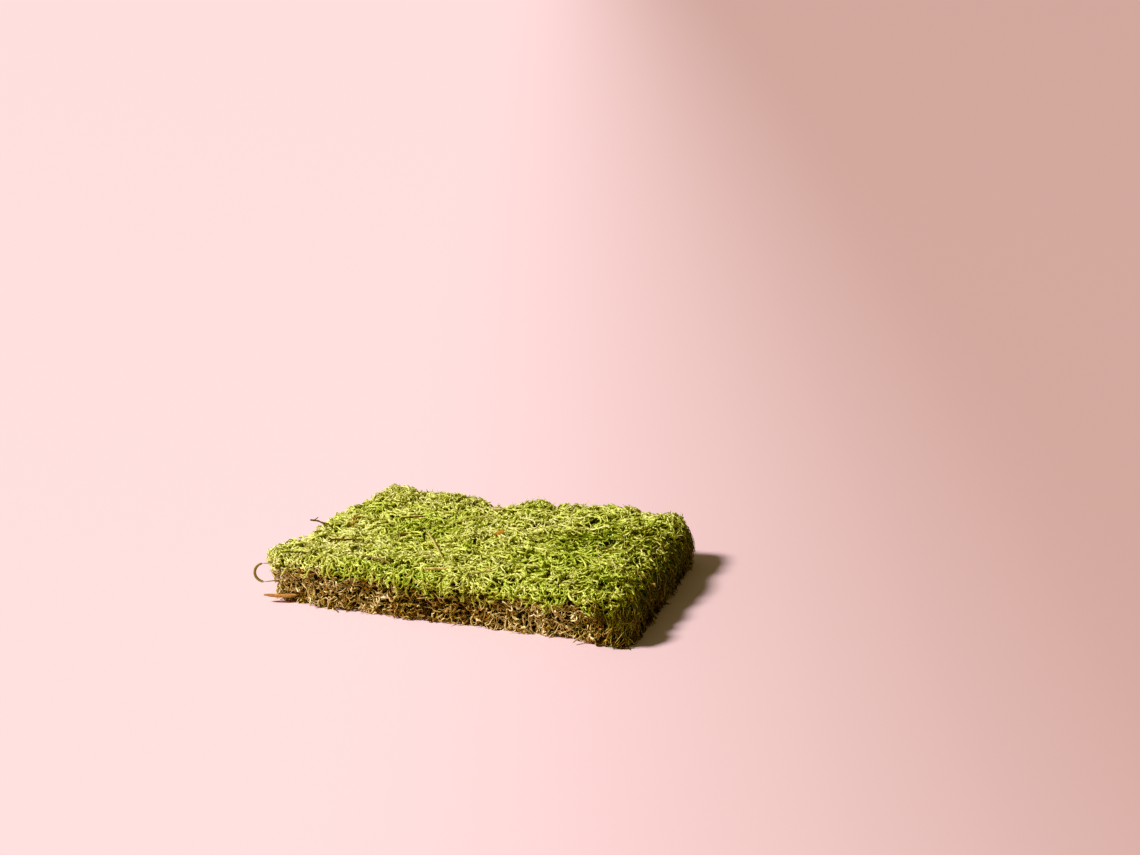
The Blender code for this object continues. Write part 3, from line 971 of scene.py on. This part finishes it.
def shoot_shades(places, directions, lines, rng):
    """How far each shoot's colours are moved towards its dark base: painted shade in patches, on
    the right end's sides away from the lamp and where a shoot runs deep, where it is also older;
    less of it as painted light on the front rim and in lit patches; and some random tone.
    """
    down_side = END_SHADE * near_right_end(places) * (END_SHADE_FROM - directions[:, Z]).clip(0.0)
    middles = lines[:, KNOTS // 2]
    surface, outwards = on_envelope(middles)
    depth = ((surface - middles) * outwards).sum(axis=1)
    deep = (DEPTH_SHADE * (depth - USUAL_DEPTH)).clip(*DEPTH_SHADE_LIMITS)
    return (patches(places, SHADES) + down_side + deep - FRONT_LIGHT * near_front(places)
            + rng.normal(0.0, SHADE_VARIETY, len(places)))


# %% [markdown]
# Three green shoots in five lie along the top and over the rim, crossing each other.  The
# others stand up and end in a curved tip, some of them on the rim alone, and these make the
# soft, spiky outline.  They are made as four pieces, one for each quarter of the mat, because
# one piece of all of them would be too heavy.

# %% Grow the green shoots
LYING_COUNT = 3100
UPRIGHT_COUNT = 1500
RIM_COUNT = 600
RIM_HEIGHT = 34 * MM
RIM_LEAN = 0.80
SIDE_LEAN = 0.75
DOWN = np.array([0.0, 0.0, -1.0])
QUARTERS = {
    "green_shoots_front_left": (-1, -1),
    "green_shoots_front_right": (1, -1),
    "green_shoots_back_left": (-1, 1),
    "green_shoots_back_right": (1, 1),
}


def leafy(name, lines, ups, kinds, finish, rng, rings, per_shoot, leaf, stem, sides=3, shade=0.0):
    """One object of leafy shoots; leaf is the length and width of a leaf and stem the radius
    of a stem, in mm."""
    count = len(lines)
    longs = leaf[0] * MM * rng.uniform(0.8, 1.2, count)
    wides = leaf[1] * MM * rng.uniform(0.8, 1.2, count)
    thick = stem * MM * rng.uniform(0.75, 1.25, count)
    parts = [stems(lines, ups, sides, rings, thick),
             leaves(lines, ups, per_shoot, longs, wides, thick, rng)]
    return join_parts(name, parts, kinds, finish, shade)


def green_rim(lean, height):
    """The green triangles that lean out further than this, above a height."""
    return face_green & (face_lean < lean) & (face_middle[:, Z] > height)


def lying_shoots(rng):
    """Shoots that lie along the top; on the sides they are shorter and hang down."""
    places, directions = spread(LYING_COUNT, face_green, rng)
    on_side = (directions[:, Z:] < SIDE_LEAN) * 1.0
    hang = on_side * (1.0 - near_left_end(places))[:, None]
    return places, directions, curling_lines(
        places, directions, rng, length=(14 - 4 * on_side, 29 - 11 * on_side), root=(4, 8),
        depth=(0.0, 4.5), lift=(-1.5, 1.5), turn=2.4, arch=1.2, bias=DOWN * hang, pull=0.9)


def green_lines(rng):
    """The lines, outward directions, colour kinds and shades of all green shoots."""
    lying = lying_shoots(rng)
    upright = grow(UPRIGHT_COUNT, face_green, rng, length=(8, 14), root=(6, 9),
                   depth=(-0.5, 1.5), lift=(0.0, 2.5), turn=2.6, arch=1.5)
    on_rim = grow(RIM_COUNT, green_rim(RIM_LEAN, RIM_HEIGHT), rng, length=(7, 14), root=(5, 8),
                  depth=(-0.5, 1.5), lift=(-0.5, 2.5), turn=2.8, arch=1.5)
    places, directions, lines = together(lying, upright, on_rim)
    kinds = shoot_kinds(places, rng)
    return lines, directions, kinds, shoot_shades(places, directions, lines, rng)


rng = np.random.default_rng(11)
green, green_ups, green_kinds, green_shades = green_lines(rng)
middle = green.mean(axis=1)
for name, (right, rear) in QUARTERS.items():
    part = (middle[:, X] * right >= 0) & (middle[:, Y] * rear > 0)
    item = leafy(name, green[part], green_ups[part], green_kinds[part], living_moss, rng,
                 rings=9, per_shoot=22, leaf=(2.2, 0.85), stem=1.02, shade=green_shades[part])
    dress(item)

# %% [markdown]
# ## Side branches
#
# Feather moss is called so for its side branches.  One shoot in four gets one: a short shoot
# that leaves it part of the way along and bends forward.  A real one has many, but more of them
# would only fill the gaps between the shoots.

# %% Grow the side branches
BRANCH_SHARE = 0.25
BRANCH_STARTS = (0.35, 0.70)
BRANCH_SPREAD = math.radians(48.0)
BRANCH_RISE, BRANCH_RISE_VARIETY = 0.10, 0.25
BRANCH_LENGTHS = (3.5, 6.5)
BRANCH_BEND = 0.10


def side_branches(knots, ups, kinds, shades, rng):
    """One object of short shoots that leave some of these lines."""
    chosen = rng.random(len(knots)) < BRANCH_SHARE
    knots, ups, kinds, shades = knots[chosen], ups[chosen], kinds[chosen], shades[chosen]
    column = (len(knots), 1)
    start = rng.uniform(*BRANCH_STARTS, column)
    places, headings, rise, side = (axis[:, 0] for axis in axes_along(knots, start, ups))
    hand = np.where(rng.random(column) < 0.5, -1.0, 1.0)
    away = math.cos(BRANCH_SPREAD) * headings + math.sin(BRANCH_SPREAD) * hand * side
    away = unit(away + rise * rng.normal(BRANCH_RISE, BRANCH_RISE_VARIETY, column))
    step = rng.uniform(*BRANCH_LENGTHS, column) * MM / (KNOTS - 1)
    line = [places]
    for _knot in range(1, KNOTS):
        away = unit(away + BRANCH_BEND * headings)
        line.append(line[-1] + step * away)
    return leafy("side_branches", np.stack(line, 1), ups, kinds, living_moss, rng,
                 rings=4, per_shoot=7, leaf=(1.4, 0.85), stem=0.58, shade=shades)


dress(side_branches(green, green_ups, green_kinds, green_shades, rng))

# %% [markdown]
# ## Wisps
#
# Against the light the outline of moss is fuzzy: thin, pale shoots stand out of it and bend
# over.  There are few of them, and they are half as thick as the others.

# %% Grow the wisps
WISP_COUNT = 330
WISP_LEAN = 0.85
WISPS_ON_TOP = 0.10
WISP_KINDS = (0.16, 0.46)
WISP_LIGHT = 0.05


def wisps(rng):
    weight = WISPS_ON_TOP * face_green + green_rim(WISP_LEAN, RIM_HEIGHT)
    _places, directions, lines = grow(
        WISP_COUNT, weight, rng, length=(8, 15), root=(4, 6), depth=(-0.5, 1.0),
        lift=(2.5, 6.5), turn=3.4, arch=1.0)
    kinds = rng.uniform(*WISP_KINDS, WISP_COUNT)
    return leafy("wisps", lines, directions, kinds, living_moss, rng,
                 rings=9, per_shoot=14, leaf=(1.4, 0.70), stem=0.46, shade=-WISP_LIGHT)


dress(wisps(np.random.default_rng(14)))

# %% [markdown]
# ## Hanging shoots
#
# At the right end and the front right corner long, thin shoots hang over the edge, some of them
# brown.  They start on the rim and are drawn downwards.  Near the corner many are golden.  Their
# colours are moved towards their dark bases as painted shade, as they hang on the side away from
# the lamp, and less so near the corner, which the lamp reaches.

# %% Grow the hanging shoots
HANGING_COUNT = 480
HANGING_HEIGHT = 26 * MM
HANGING_LEAN = 0.93
HANGING_REACH = 22 * MM
HANGING_ELSEWHERE = 0.01
HANGING_KINDS = [0.05, 0.12, 0.40, 0.62, 0.80]
HANGING_VARIETY = 0.03
# Painted shade on the hanging shoots, with less of it near the corner as painted light.
HANGING_SHADE = 0.56
CORNER_LIGHT = 0.20
GOLDEN_SHARE = 0.42
GOLDEN_THREAD = 0.16


def hanging_shoots(rng):
    at_end = HANGING_ELSEWHERE + near(face_middle, X, mat_high[X], HANGING_REACH)
    places, directions, lines = grow(
        HANGING_COUNT, green_rim(HANGING_LEAN, HANGING_HEIGHT) * at_end, rng, length=(18, 40),
        root=(3, 5), depth=(-1.6, 1.8), lift=(-1.0, 2.5), turn=1.3, arch=1.6, bias=DOWN,
        pull=2.2)
    kinds = rng.choice(HANGING_KINDS, HANGING_COUNT)
    corner = near_front_corner(places)
    golden = rng.random(HANGING_COUNT) < GOLDEN_SHARE * corner
    kinds = np.where(golden, GOLDEN_THREAD, kinds)
    kinds = kinds + rng.normal(0.0, HANGING_VARIETY, HANGING_COUNT)
    return leafy("hanging_shoots", lines, directions, kinds.clip(0.03, 0.95), living_moss, rng,
                 rings=11, per_shoot=20, leaf=(1.4, 0.60), stem=0.42,
                 shade=HANGING_SHADE - CORNER_LIGHT * corner)


dress(hanging_shoots(np.random.default_rng(13)))

# %% [markdown]
# ## Shoots below
#
# Between the top shoots the eye looks down on older, darker ones: their colours are moved far
# towards their dark bases, partly for their own older colour and partly as painted shade, as they
# lie in the shadow of the top shoots.  They need no leaves that can be told apart, so they are
# plain rough stems, which cost a quarter as much.

# %% Grow the shaded shoots
SHADED_COUNT = 3400
# Partly painted shade: how far these shoots' colours move towards their dark bases.
SHADED_SHADE = 0.50


def bare(name, grown, kinds_of, finish, rng, rings, radius, shade=0.0, **form):
    """One object of bare stems; radius is a pair, the least and the most, in mm."""
    places, directions, lines = grown
    thick = rng.uniform(*radius, len(places)) * MM
    part = stems(lines, directions, 3, rings, thick, rng=rng, **form)
    return join_parts(name, [part], kinds_of(places, rng), finish, shade)


def shaded_shoots(rng):
    grown = grow(SHADED_COUNT, face_green, rng, length=(10, 18), root=(6, 9), depth=(4.0, 6.5),
                 lift=(-1.0, 1.0), turn=1.4)
    return bare("shaded_shoots", grown, shoot_kinds, living_moss, rng, rings=5,
                radius=(0.55, 0.95), shade=SHADED_SHADE, flatness=0.6, rough=0.8)


dress(shaded_shoots(np.random.default_rng(12)))

# %% [markdown]
# ## Brown stems on the sides
#
# The cut sides show the dead lower stems: curly straw-coloured strips in every direction, with
# dark holes between them.  Some of them still carry shrivelled leaves, and a fringe of them stands
# out along the bottom.  Round tubes would look like wire, so the bare ones are flat and twist
# along their way.  Just under the green rim they lie further in, and their colour is darker there
# as painted shadow of the overhanging green.

# %% Kinds of dead stems
USUAL_STEM = 0.67
STEM_WAVE = 0.10
STEM_WAVE_PITCH = 30 * MM
STEM_VARIETY = 0.14
STEM_LIMITS = (0.05, 0.81)
# Painted shadow: stems just under the overhanging green rim are darker in colour.
RIM_SHADE = 0.10
RIM_SHADE_REACH = 7 * MM
# Painted shade: stems near the floor, where the mat curves under, are darker in colour.
LOW_SHADE = 0.12
LOW_SHADE_REACH = 8 * MM
# Patches along the front: the first darkens the stems as painted shade under the overhanging green
# in the middle, and the two with strength below 0 make the stems lighter towards the ends.
STEM_SHADES = [
    (0.000, -0.105, 0.040, 0.24),
    (0.085, -0.105, 0.035, -0.17),
    (-0.095, -0.105, 0.040, -0.07),
]
# Painted shade: dead stems at the right end, which faces away from the lamp, are darker in colour.
END_STEM_SHADE = 0.50
RUST_SHARE, RUST_KINDS = 0.025, (0.86, 0.93)
DULL_GREEN_SHARE, DULL_GREEN_KINDS = 0.06, (0.95, 0.99)


def under_rim(places):
    """From 1 at the green line to 0 well below it."""
    return np.exp(-(((green_line(places) - places[:, Z]).clip(0.0) / RIM_SHADE_REACH) ** 2))


def stem_kinds(places, rng):
    """Each dead stem's place on its colour ramp: its own colour and strays, darkened as painted
    shade under the green rim, in the middle of the front, at the right end and near the floor, and
    lighter towards the ends of the front.
    """
    kind = USUAL_STEM + STEM_WAVE * wave(places, STEM_WAVE_PITCH, seed=7)
    kind = kind + rng.normal(0.0, STEM_VARIETY, len(places))
    kind -= RIM_SHADE * under_rim(places) + patches(places, STEM_SHADES)
    kind -= END_STEM_SHADE * near_right_end(places)
    kind -= LOW_SHADE * near(places, Z, 0.0, LOW_SHADE_REACH)
    kind = kind.clip(*STEM_LIMITS)
    stray = rng.random(len(places))
    kind = np.where(stray < RUST_SHARE, rng.uniform(*RUST_KINDS, len(places)), kind)
    dull_green = rng.uniform(*DULL_GREEN_KINDS, len(places))
    return np.where(stray > 1.0 - DULL_GREEN_SHARE, dull_green, kind)


# %% Grow the side stems
SIDE_LEAFY = 900
SIDE_BARE = 3200
FRINGE_COUNT = 420
FRINGE_HEIGHT = 9 * MM
RIM_STEP = 2.2 * MM


def leafy_side_stems(rng):
    places, directions, lines = grow(
        SIDE_LEAFY, face_brown, rng, length=(7, 15), root=(3, 7), depth=(1.0, 4.5),
        lift=(-2.5, 2.5), turn=2.4, arch=2.0)
    return leafy("leafy_side_stems", lines, directions, stem_kinds(places, rng), dead_stems, rng,
                 rings=7, per_shoot=8, leaf=(1.6, 0.9), stem=0.55)


def bare_side_stems(rng):
    side = grow(SIDE_BARE, face_brown, rng, length=(6, 14), root=(3, 7), depth=(-0.5, 6.5),
                lift=(-2.5, 2.5), turn=2.2, arch=2.5)
    fringe = grow(FRINGE_COUNT, face_brown & (face_middle[:, Z] < FRINGE_HEIGHT), rng,
                  length=(6, 13), root=(4, 6), depth=(-1.0, 1.5), lift=(1.5, 6.0), turn=1.8,
                  arch=1.0, bias=DOWN, pull=0.8)
    places, directions, lines = together(side, fringe)
    lines = lines - (RIM_STEP * under_rim(places))[:, None, None] * directions[:, None]
    return bare("bare_side_stems", (places, directions, lines), stem_kinds, dead_stems, rng,
                rings=8, radius=(0.55, 1.20), flatness=0.45, rough=0.5, twist=3.0)


rng = np.random.default_rng(21)
dress(leafy_side_stems(rng))
dress(bare_side_stems(rng))

# %% [markdown]
# ## Underside
#
# The mat rests on its cut.  Seen from below it is a felt of pressed stems, so these run flat
# along the floor, one or two thicknesses deep.

# %% Grow the pressed stems
PRESSED_COUNT = 2600


def pressed_stems(rng):
    grown = grow(PRESSED_COUNT, face_under, rng, length=(12, 24), root=(1.0, 3.0),
                 depth=(0.6, 2.2), lift=(-0.6, 0.4), turn=1.5)
    return bare("pressed_stems", grown, stem_kinds, dead_stems, rng, rings=5,
                radius=(0.40, 0.80), flatness=0.5, rough=0.5)


dress(pressed_stems(np.random.default_rng(31)))

# %% [markdown]
# ## The dark inside
#
# No one sees into the middle of the mat, but light must not shine through it.  A smaller copy of
# the envelope stops the eye and the light between the stems.  Its dark colour is painted shade: in
# the real mat more stems lie there, dark only because little light reaches them.  Scaled down, a
# copy would stand out of the notch in the back edge, so it is remeshed and pulled in square to its
# own surface.

# %% Dark inside
INSIDE_VOXEL = 6.0 * MM
INSIDE_DEPTH = 6.0 * MM
INSIDE_CALM = 4
# The two colours of the core's painted shade.
INSIDE_SHADE_DEEP = (0.010, 0.008, 0.003)
INSIDE_SHADE_PALE = (0.040, 0.032, 0.010)


def inside_finish():
    material, shader, wire = new_finish("painted_shade_core", roughness=0.95, specular=0.5)
    place = wire.node("ShaderNodeTexCoord", output="Object")
    clumps = wire.node("ShaderNodeTexNoise", {}, {"Vector": place, "Scale": 260.0, "Detail": 3.0})
    wire.feed(shader["Base Color"], clumps.mixed(INSIDE_SHADE_DEEP, INSIDE_SHADE_PALE))
    return material


def painted_shade_core():
    item = add_object("painted_shade_core", mat_solid.data.copy())
    remesh = item.modifiers.new("remesh", "REMESH")
    remesh.mode = "VOXEL"
    remesh.voxel_size = INSIDE_VOXEL
    pull = item.modifiers.new("pull_in", "DISPLACE")
    pull.strength = -INSIDE_DEPTH
    pull.mid_level = 0.0
    item.modifiers.new("calm", "SMOOTH").iterations = INSIDE_CALM
    bpy.context.view_layer.update()
    graph = bpy.context.evaluated_depsgraph_get()
    mesh = bpy.data.meshes.new_from_object(item.evaluated_get(graph))
    mesh.materials.clear()
    mesh.materials.append(inside_finish())
    item.modifiers.clear()
    item.data = mesh
    print("dark inside:", len(mesh.polygons), "faces")
    return item


dress(painted_shade_core())

# %% [markdown]
# ## Litter
#
# Each bit of litter is grown again round the middle of its solid, with more sides.  A
# subdivided solid would be smooth, and bark isn't.  The solids are made of rings of corners, so
# sorting the corners by their way along the edges from one tip gives the rings, and their
# middles give the line.  The fork has no such rings, so its two lines are written down.

# %% Lines of the litter
WELD = 0.001 * MM
FORK_STEM = np.array([(-71.6, -82.6, 42.5), (-65.6, -83.1, 42.5), (-60.2, -85.4, 42.4),
                      (-54.3, -86.2, 42.4), (-49.0, -89.0, 42.4), (-43.7, -91.9, 42.4)]) * MM
FORK_PRONG = np.array([(-51.2, -87.6, 42.4), (-50.0, -90.9, 42.4), (-49.3, -93.7, 42.4),
                       (-49.1, -96.6, 42.4)]) * MM


def ways_from(solid, start):
    """The way along the edges from one corner to every other."""
    ways, queue = {}, [(0.0, start)]
    while queue:
        way, index = heapq.heappop(queue)
        if index in ways:
            continue
        ways[index] = way
        here = solid.verts[index]
        for edge in here.link_edges:
            heapq.heappush(queue, (way + edge.calc_length(), edge.other_vert(here).index))
    return ways


def rings_of(node, corners_each):
    """The rings of a slender solid, from its left tip: their middles, and at the middle ring
    the solid's thin direction and heading."""
    solid = bmesh.new()
    solid.from_mesh(node.data)
    bmesh.ops.remove_doubles(solid, verts=solid.verts, dist=WELD)
    solid.verts.index_update()
    solid.verts.ensure_lookup_table()
    ways = ways_from(solid, 0)
    ways = ways_from(solid, max(ways, key=ways.get))
    rings = np.array([solid.verts[k].co for k in sorted(ways, key=ways.get)])
    solid.free()
    rings = rings.reshape(-1, corners_each, 3)
    if rings[0, :, X].mean() > rings[-1, :, X].mean():
        rings = rings[::-1]
    middles = rings.mean(axis=1)
    half = len(rings) // 2
    heading = unit(middles[half + 1] - middles[half - 1])
    ring = rings[half] - rings[half].mean(axis=0)
    ring = ring - (ring @ heading)[:, None] * heading
    thin = np.cross(heading, np.linalg.svd(ring)[2][0])
    return middles, thin * np.sign(thin[Z] + 1e-9), heading


# %% [markdown]
# A rod is a tube round one line, whose relief is a factor on its thickness: ridges and knots for
# bark, joints for straw.  Its ends are broken: each corner of the last ring stands out or back
# a little.  Its map has a column more than the rod has sides, because the seam lies at both
# edges of the map.

# %% Rods
HUB_SHARE = 0.6


def relief_noise(angle, share, round_pitch, along_pitch, seed):
    """Soft noise round and along a rod."""
    spots = np.stack([np.cos(angle) / round_pitch, np.sin(angle) / round_pitch,
                      share / along_pitch], -1)
    return wave(spots.reshape(-1, 3), 1.0, seed).reshape(angle.shape)


def tube_faces(sides, rings, share):
    """The triangles of a tube with a hub at each end, and the map places of their corners."""
    grid = np.arange(rings * (sides + 1)).reshape(rings, sides + 1)
    hub = np.full(sides, grid.size)
    fans = [(grid[:-1, :-1], grid[:-1, 1:], grid[1:, 1:]),
            (grid[:-1, :-1], grid[1:, 1:], grid[1:, :-1]),
            (hub, grid[0, 1:], grid[0, :-1]),
            (hub + 1, grid[-1, :-1], grid[-1, 1:])]
    faces = np.concatenate([np.stack(fan, -1).reshape(-1, 3) for fan in fans])
    point = np.arange(rings)[:, None] * sides + np.arange(sides + 1) % sides
    point = np.append(point, [rings * sides, rings * sides + 1])
    spot = np.stack(np.meshgrid(np.arange(sides + 1) / sides, share), -1).reshape(-1, 2)
    spot = np.concatenate([spot, [(0.5, 0.0), (0.5, 1.0)]])
    return point[faces], spot[faces]


def rod(line, up, half_up, half_side, sides, rings, relief, jag, seed, turn=0.0):
    """Points, triangles and map places of one rod; half_up, half_side and jag are in metres."""
    rng = np.random.default_rng(seed)
    share = np.linspace(0.0, 1.0, rings)
    places, headings, rise, side = (row[0][:, None] for row in axes_along(
        line[None], share[None], np.asarray(up, float)[None]))
    angle, shares = np.meshgrid(2.0 * np.pi * np.arange(sides) / sides + np.pi, share)
    factor = relief(angle, shares, seed)
    up_way, side_way = turned(rise, side, -(turn * (shares - 0.5))[..., None])
    points = (places + (half_up * factor * np.cos(angle))[..., None] * up_way
              + (half_side * factor * np.sin(angle))[..., None] * side_way)
    for end, way in ((0, -1.0), (-1, 1.0)):
        points[end] += way * headings[end] * jag * rng.random((sides, 1))
    hubs = np.stack([points[0].mean(axis=0), points[-1].mean(axis=0)])
    hubs += np.stack([headings[0, 0], -headings[-1, 0]]) * HUB_SHARE * jag
    return (np.concatenate([points.reshape(-1, 3), hubs]), *tube_faces(sides, rings, share))


def join_rods(name, rods, finish):
    """One object from some rods."""
    points, faces = join(rods)
    print(f"{name}: {len(faces)} triangles")
    return new_item(name, points, faces, np.concatenate([part[2] for part in rods]), finish)


# %% Reliefs
BARK_KNOTS = (0.22, 0.41, 0.68, 0.87)
STRAW_JOINTS = (0.31, 0.74)
BLADE_SWELL = (0.10, 0.75, 0.8)


def bark_relief(angle, share, seed):
    """Ridges, a few knots, and a taper towards the right end."""
    knots = sum(np.exp(-(((share - at) / 0.022) ** 2)) * (1.0 + np.cos(angle - 9.0 * at)) / 2.0
                for at in BARK_KNOTS)
    ridges = (1.0 + 0.16 * relief_noise(angle, share, 0.55, 0.30, seed)
              + 0.12 * relief_noise(angle, share, 0.60, 0.05, seed + 1))
    return (1.0 - 0.30 * share) * ridges + 0.45 * knots


def straw_relief(angle, share, seed):
    """A smooth stalk with two joints and flat grooves."""
    joints = sum(np.exp(-(((share - at) / 0.012) ** 2)) for at in STRAW_JOINTS)
    return (1.0 + 0.07 * np.cos(5.0 * angle) + 0.06 * relief_noise(angle, share, 1.2, 0.15, seed)
            + 0.20 * joints - 0.25 * share**3)


def needle_relief(angle, share, seed):
    """A needle: flat-sided, even, with a sharp tip."""
    flats = 1.0 + 0.10 * np.cos(3.0 * angle)
    return flats * (1.0 - share**6 * 0.85) * (1.0 - 0.25 * (1 - share)**8)


def splinter_relief(angle, share, seed):
    """A flat splinter: fibres along it, and ends that narrow unevenly."""
    narrow = 1.0 - 0.55 * np.abs(2.0 * share - 1.0) ** 3
    return narrow * (1.0 + 0.22 * relief_noise(angle, share, 0.20, 0.9, seed)
                     + 0.08 * relief_noise(angle, share, 0.30, 0.08, seed + 1))


def blade_relief(angle, share, seed):
    """A grass blade, whose width falls to a thin tip."""
    width = 0.35 + 0.65 * swell(1.0 - share, *BLADE_SWELL)
    return width * (1.0 + 0.05 * relief_noise(angle, share, 0.25, 0.10, seed))


# %% [markdown]
# The litter's finishes follow the rods' maps: fine streaks run lengthwise between a dark and a
# light colour, and broader patches cross them.  A slot has one finish for most of its pieces.
# The orange straw, the leaf bit and the weathered fork look different, so they have their own.

# %% Litter finishes
PATCHES_ROUND, PATCHES_ALONG = 5.0, 14.0
STREAK_DEPTH = 0.25 * MM


def fibre_finish(name, dark, light, roughness, across=26.0, along=5.0, bump=0.35):
    """Dry bark, wood or straw: lengthwise streaks between two colours, with a little relief."""
    material, shader, wire = new_finish(name, roughness, specular=0.15)
    place = map_place(wire)
    streak = streaks(wire, place, across, along)
    patch = streaks(wire, place, PATCHES_ROUND, PATCHES_ALONG)
    mask = (streak * 0.65 + patch * 0.35).ranged(0.36, 0.64, "LINEAR")
    wire.feed(shader["Base Color"], mask.mixed(dark, light))
    relief = wire.node("ShaderNodeBump", {}, {"Strength": bump, "Distance": STREAK_DEPTH,
                                              "Height": streak})
    wire.feed(shader["Normal"], relief)
    return material


finishes = {
    "dark_twig": fibre_finish("dark_bark", (0.030, 0.016, 0.004), (0.190, 0.120, 0.040), 0.80),
    "red_twig": fibre_finish("red_bark", (0.055, 0.024, 0.006), (0.250, 0.125, 0.042), 0.80),
    "tan_straw": fibre_finish("dry_straw", (0.34, 0.24, 0.07), (0.74, 0.62, 0.27), 0.50, bump=0.2),
    "orange_straw": fibre_finish("orange_wood", (0.26, 0.110, 0.035), (0.66, 0.37, 0.15), 0.60),
    "dry_blade": fibre_finish("grass_blade", (0.16, 0.125, 0.025), (0.56, 0.47, 0.17), 0.45,
                              across=40.0, along=4.0, bump=0.2),
}
own_finishes = {
    "orange_straw": fibre_finish("peach_straw", (0.68, 0.46, 0.13), (0.95, 0.80, 0.34), 0.50,
                                 bump=0.2),
    "orange_leaf_bit": fibre_finish("leaf_bit", (0.30, 0.120, 0.015), (0.62, 0.34, 0.08), 0.60),
    "forked_twig": fibre_finish("weathered_bark", (0.050, 0.030, 0.010), (0.46, 0.33, 0.12), 0.75),
}
slots = {entry["node"]: entry["material_slot"] for entry in frame["record"]["subparts"]}


def dress_litter(name, rods, title):
    """Join the rods of one bit of litter and dress it in its own finish or in that of its node's
    slot.
    """
    finish = own_finishes.get(name, finishes[slots[name]])
    dress(join_rods("dressed_" + title, rods, finish), name)


# %% [markdown]
# The table has, for each bit: the corners in a ring of its solid, half its width and half its
# thickness in mm, its relief, how jagged its ends are in mm, and its spurs.  A spur is a broken
# side twig, with its place along, its length in mm and its angle in degrees.

# %% Twigs, straws and the needle
RODS = {
    "edge_twig": (6, 0.70, 0.70, bark_relief, 0.5, [(0.10, 5.0, 38), (0.46, 3.2, -50)]),
    "thin_dark_twig": (6, 0.62, 0.62, bark_relief, 0.3, [(0.30, 2.4, 45)]),
    "red_brown_twig": (6, 0.95, 0.85, bark_relief, 0.6, [(0.62, 3.0, -45)]),
    "brown_twig": (6, 0.88, 0.80, bark_relief, 0.5, [(0.35, 2.6, 50)]),
    "tan_needle": (6, 0.78, 0.66, needle_relief, 0.1, []),
    "orange_straw": (6, 1.00, 0.85, straw_relief, 0.8, []),
    "thin_straw": (6, 0.70, 0.60, straw_relief, 0.4, []),
    "long_pale_straw": (6, 0.62, 0.56, straw_relief, 0.5, []),
    "side_straw": (6, 0.70, 0.60, straw_relief, 0.5, []),
    "wood_chip": (4, 2.50, 1.00, splinter_relief, 1.5, []),
    "bark_bit": (4, 2.00, 1.00, splinter_relief, 1.2, []),
    "orange_leaf_bit": (4, 2.50, 0.42, splinter_relief, 0.9, []),
}
ROUND_CORNERS = 6
ROD_SIDES = 10
ROD_RINGS = 34
SPUR_SEED = 50
SPUR_WIDTH = 0.6
SPUR_BEND = 0.5


def spur(line, up, at, length, angle, half, seed):
    """A short side twig."""
    places, headings, _rise, side = axes_along(line[None], np.array([[at]]), np.array([up]))
    lean = math.radians(angle)
    away = math.cos(lean) * headings[0, 0] + math.sin(lean) * side[0, 0]
    steps = np.linspace(0.0, length * MM, 4)[:, None]
    bend = (steps / (length * MM)) ** 2 * SPUR_BEND * MM * np.array(up)
    return rod(places[0, 0] + steps * away + bend, up, half * SPUR_WIDTH, half * SPUR_WIDTH,
               sides=6, rings=8, relief=bark_relief, jag=0.2 * MM, seed=seed)


for seed, (name, (around, wide, thick, relief, jag, spurs)) in enumerate(RODS.items()):
    line, thin, _heading = rings_of(frame["nodes"][name], around)
    sides = ROD_SIDES if around == ROUND_CORNERS else 2 * ROD_SIDES
    rods = [rod(line, thin, thick * MM, wide * MM, sides, ROD_RINGS, relief, jag * MM, seed)]
    rods += [spur(line, thin, *place, wide * MM, SPUR_SEED + seed) for place in spurs]
    dress_litter(name, rods, name)

# %% [markdown]
# Three bits need more than that.  The fork has two rods.  The blade's wide side is set upright,
# and it twists on its way round its loop.  The bud is wrapped in scales, so it is a very short,
# thick shoot.

# %% The fork, the grass blade and the bud
fork = [rod(FORK_STEM, UP, half_up=0.80 * MM, half_side=0.85 * MM, sides=ROD_SIDES,
            rings=ROD_RINGS, relief=bark_relief, jag=0.5 * MM, seed=41),
        rod(FORK_PRONG, UP, half_up=0.60 * MM, half_side=0.60 * MM, sides=8, rings=14,
            relief=bark_relief, jag=0.4 * MM, seed=42)]
dress_litter("forked_twig", fork, "forked_twig")

BLADE_CORNERS = 10
blade_line, blade_thin, blade_heading = rings_of(frame["nodes"]["curled_grass_blade"],
                                                 BLADE_CORNERS)
blade = rod(blade_line, np.cross(blade_thin, blade_heading), half_up=1.15 * MM,
            half_side=0.28 * MM, sides=12, rings=60, relief=blade_relief, jag=0.3 * MM, seed=43,
            turn=1.1)
dress_litter("curled_grass_blade", [blade], "grass_blade")

BUD_ENDS = (-3.6, 3.0)
BUD_KIND = 0.74
bud_corners = np.array([vertex.co for vertex in frame["nodes"]["dry_bud"].data.vertices])
bud_middle = bud_corners.mean(axis=0)
bud_way = np.linalg.svd(bud_corners - bud_middle, full_matrices=False)[2][0]
bud_line = bud_middle + np.linspace(*BUD_ENDS, KNOTS)[:, None] * MM * bud_way
bud = leafy("dressed_bud", bud_line[None], np.array([UP]), np.array([BUD_KIND]), dead_stems,
            np.random.default_rng(44), rings=9, per_shoot=14, leaf=(3.4, 2.6), stem=1.5, sides=8)
dress(bud, "dry_bud")

# %% [markdown]
# ## Finish
#
# The boxes of the solids and of the dressed mat are printed; the shoots stand a few millimetres
# proud of the solid.

# %% Print the sizes and finish
dressed_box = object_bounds()
print_box("box of the dressed mat:", dressed_box)
print("made in", round(time.time() - began, 1), "seconds")
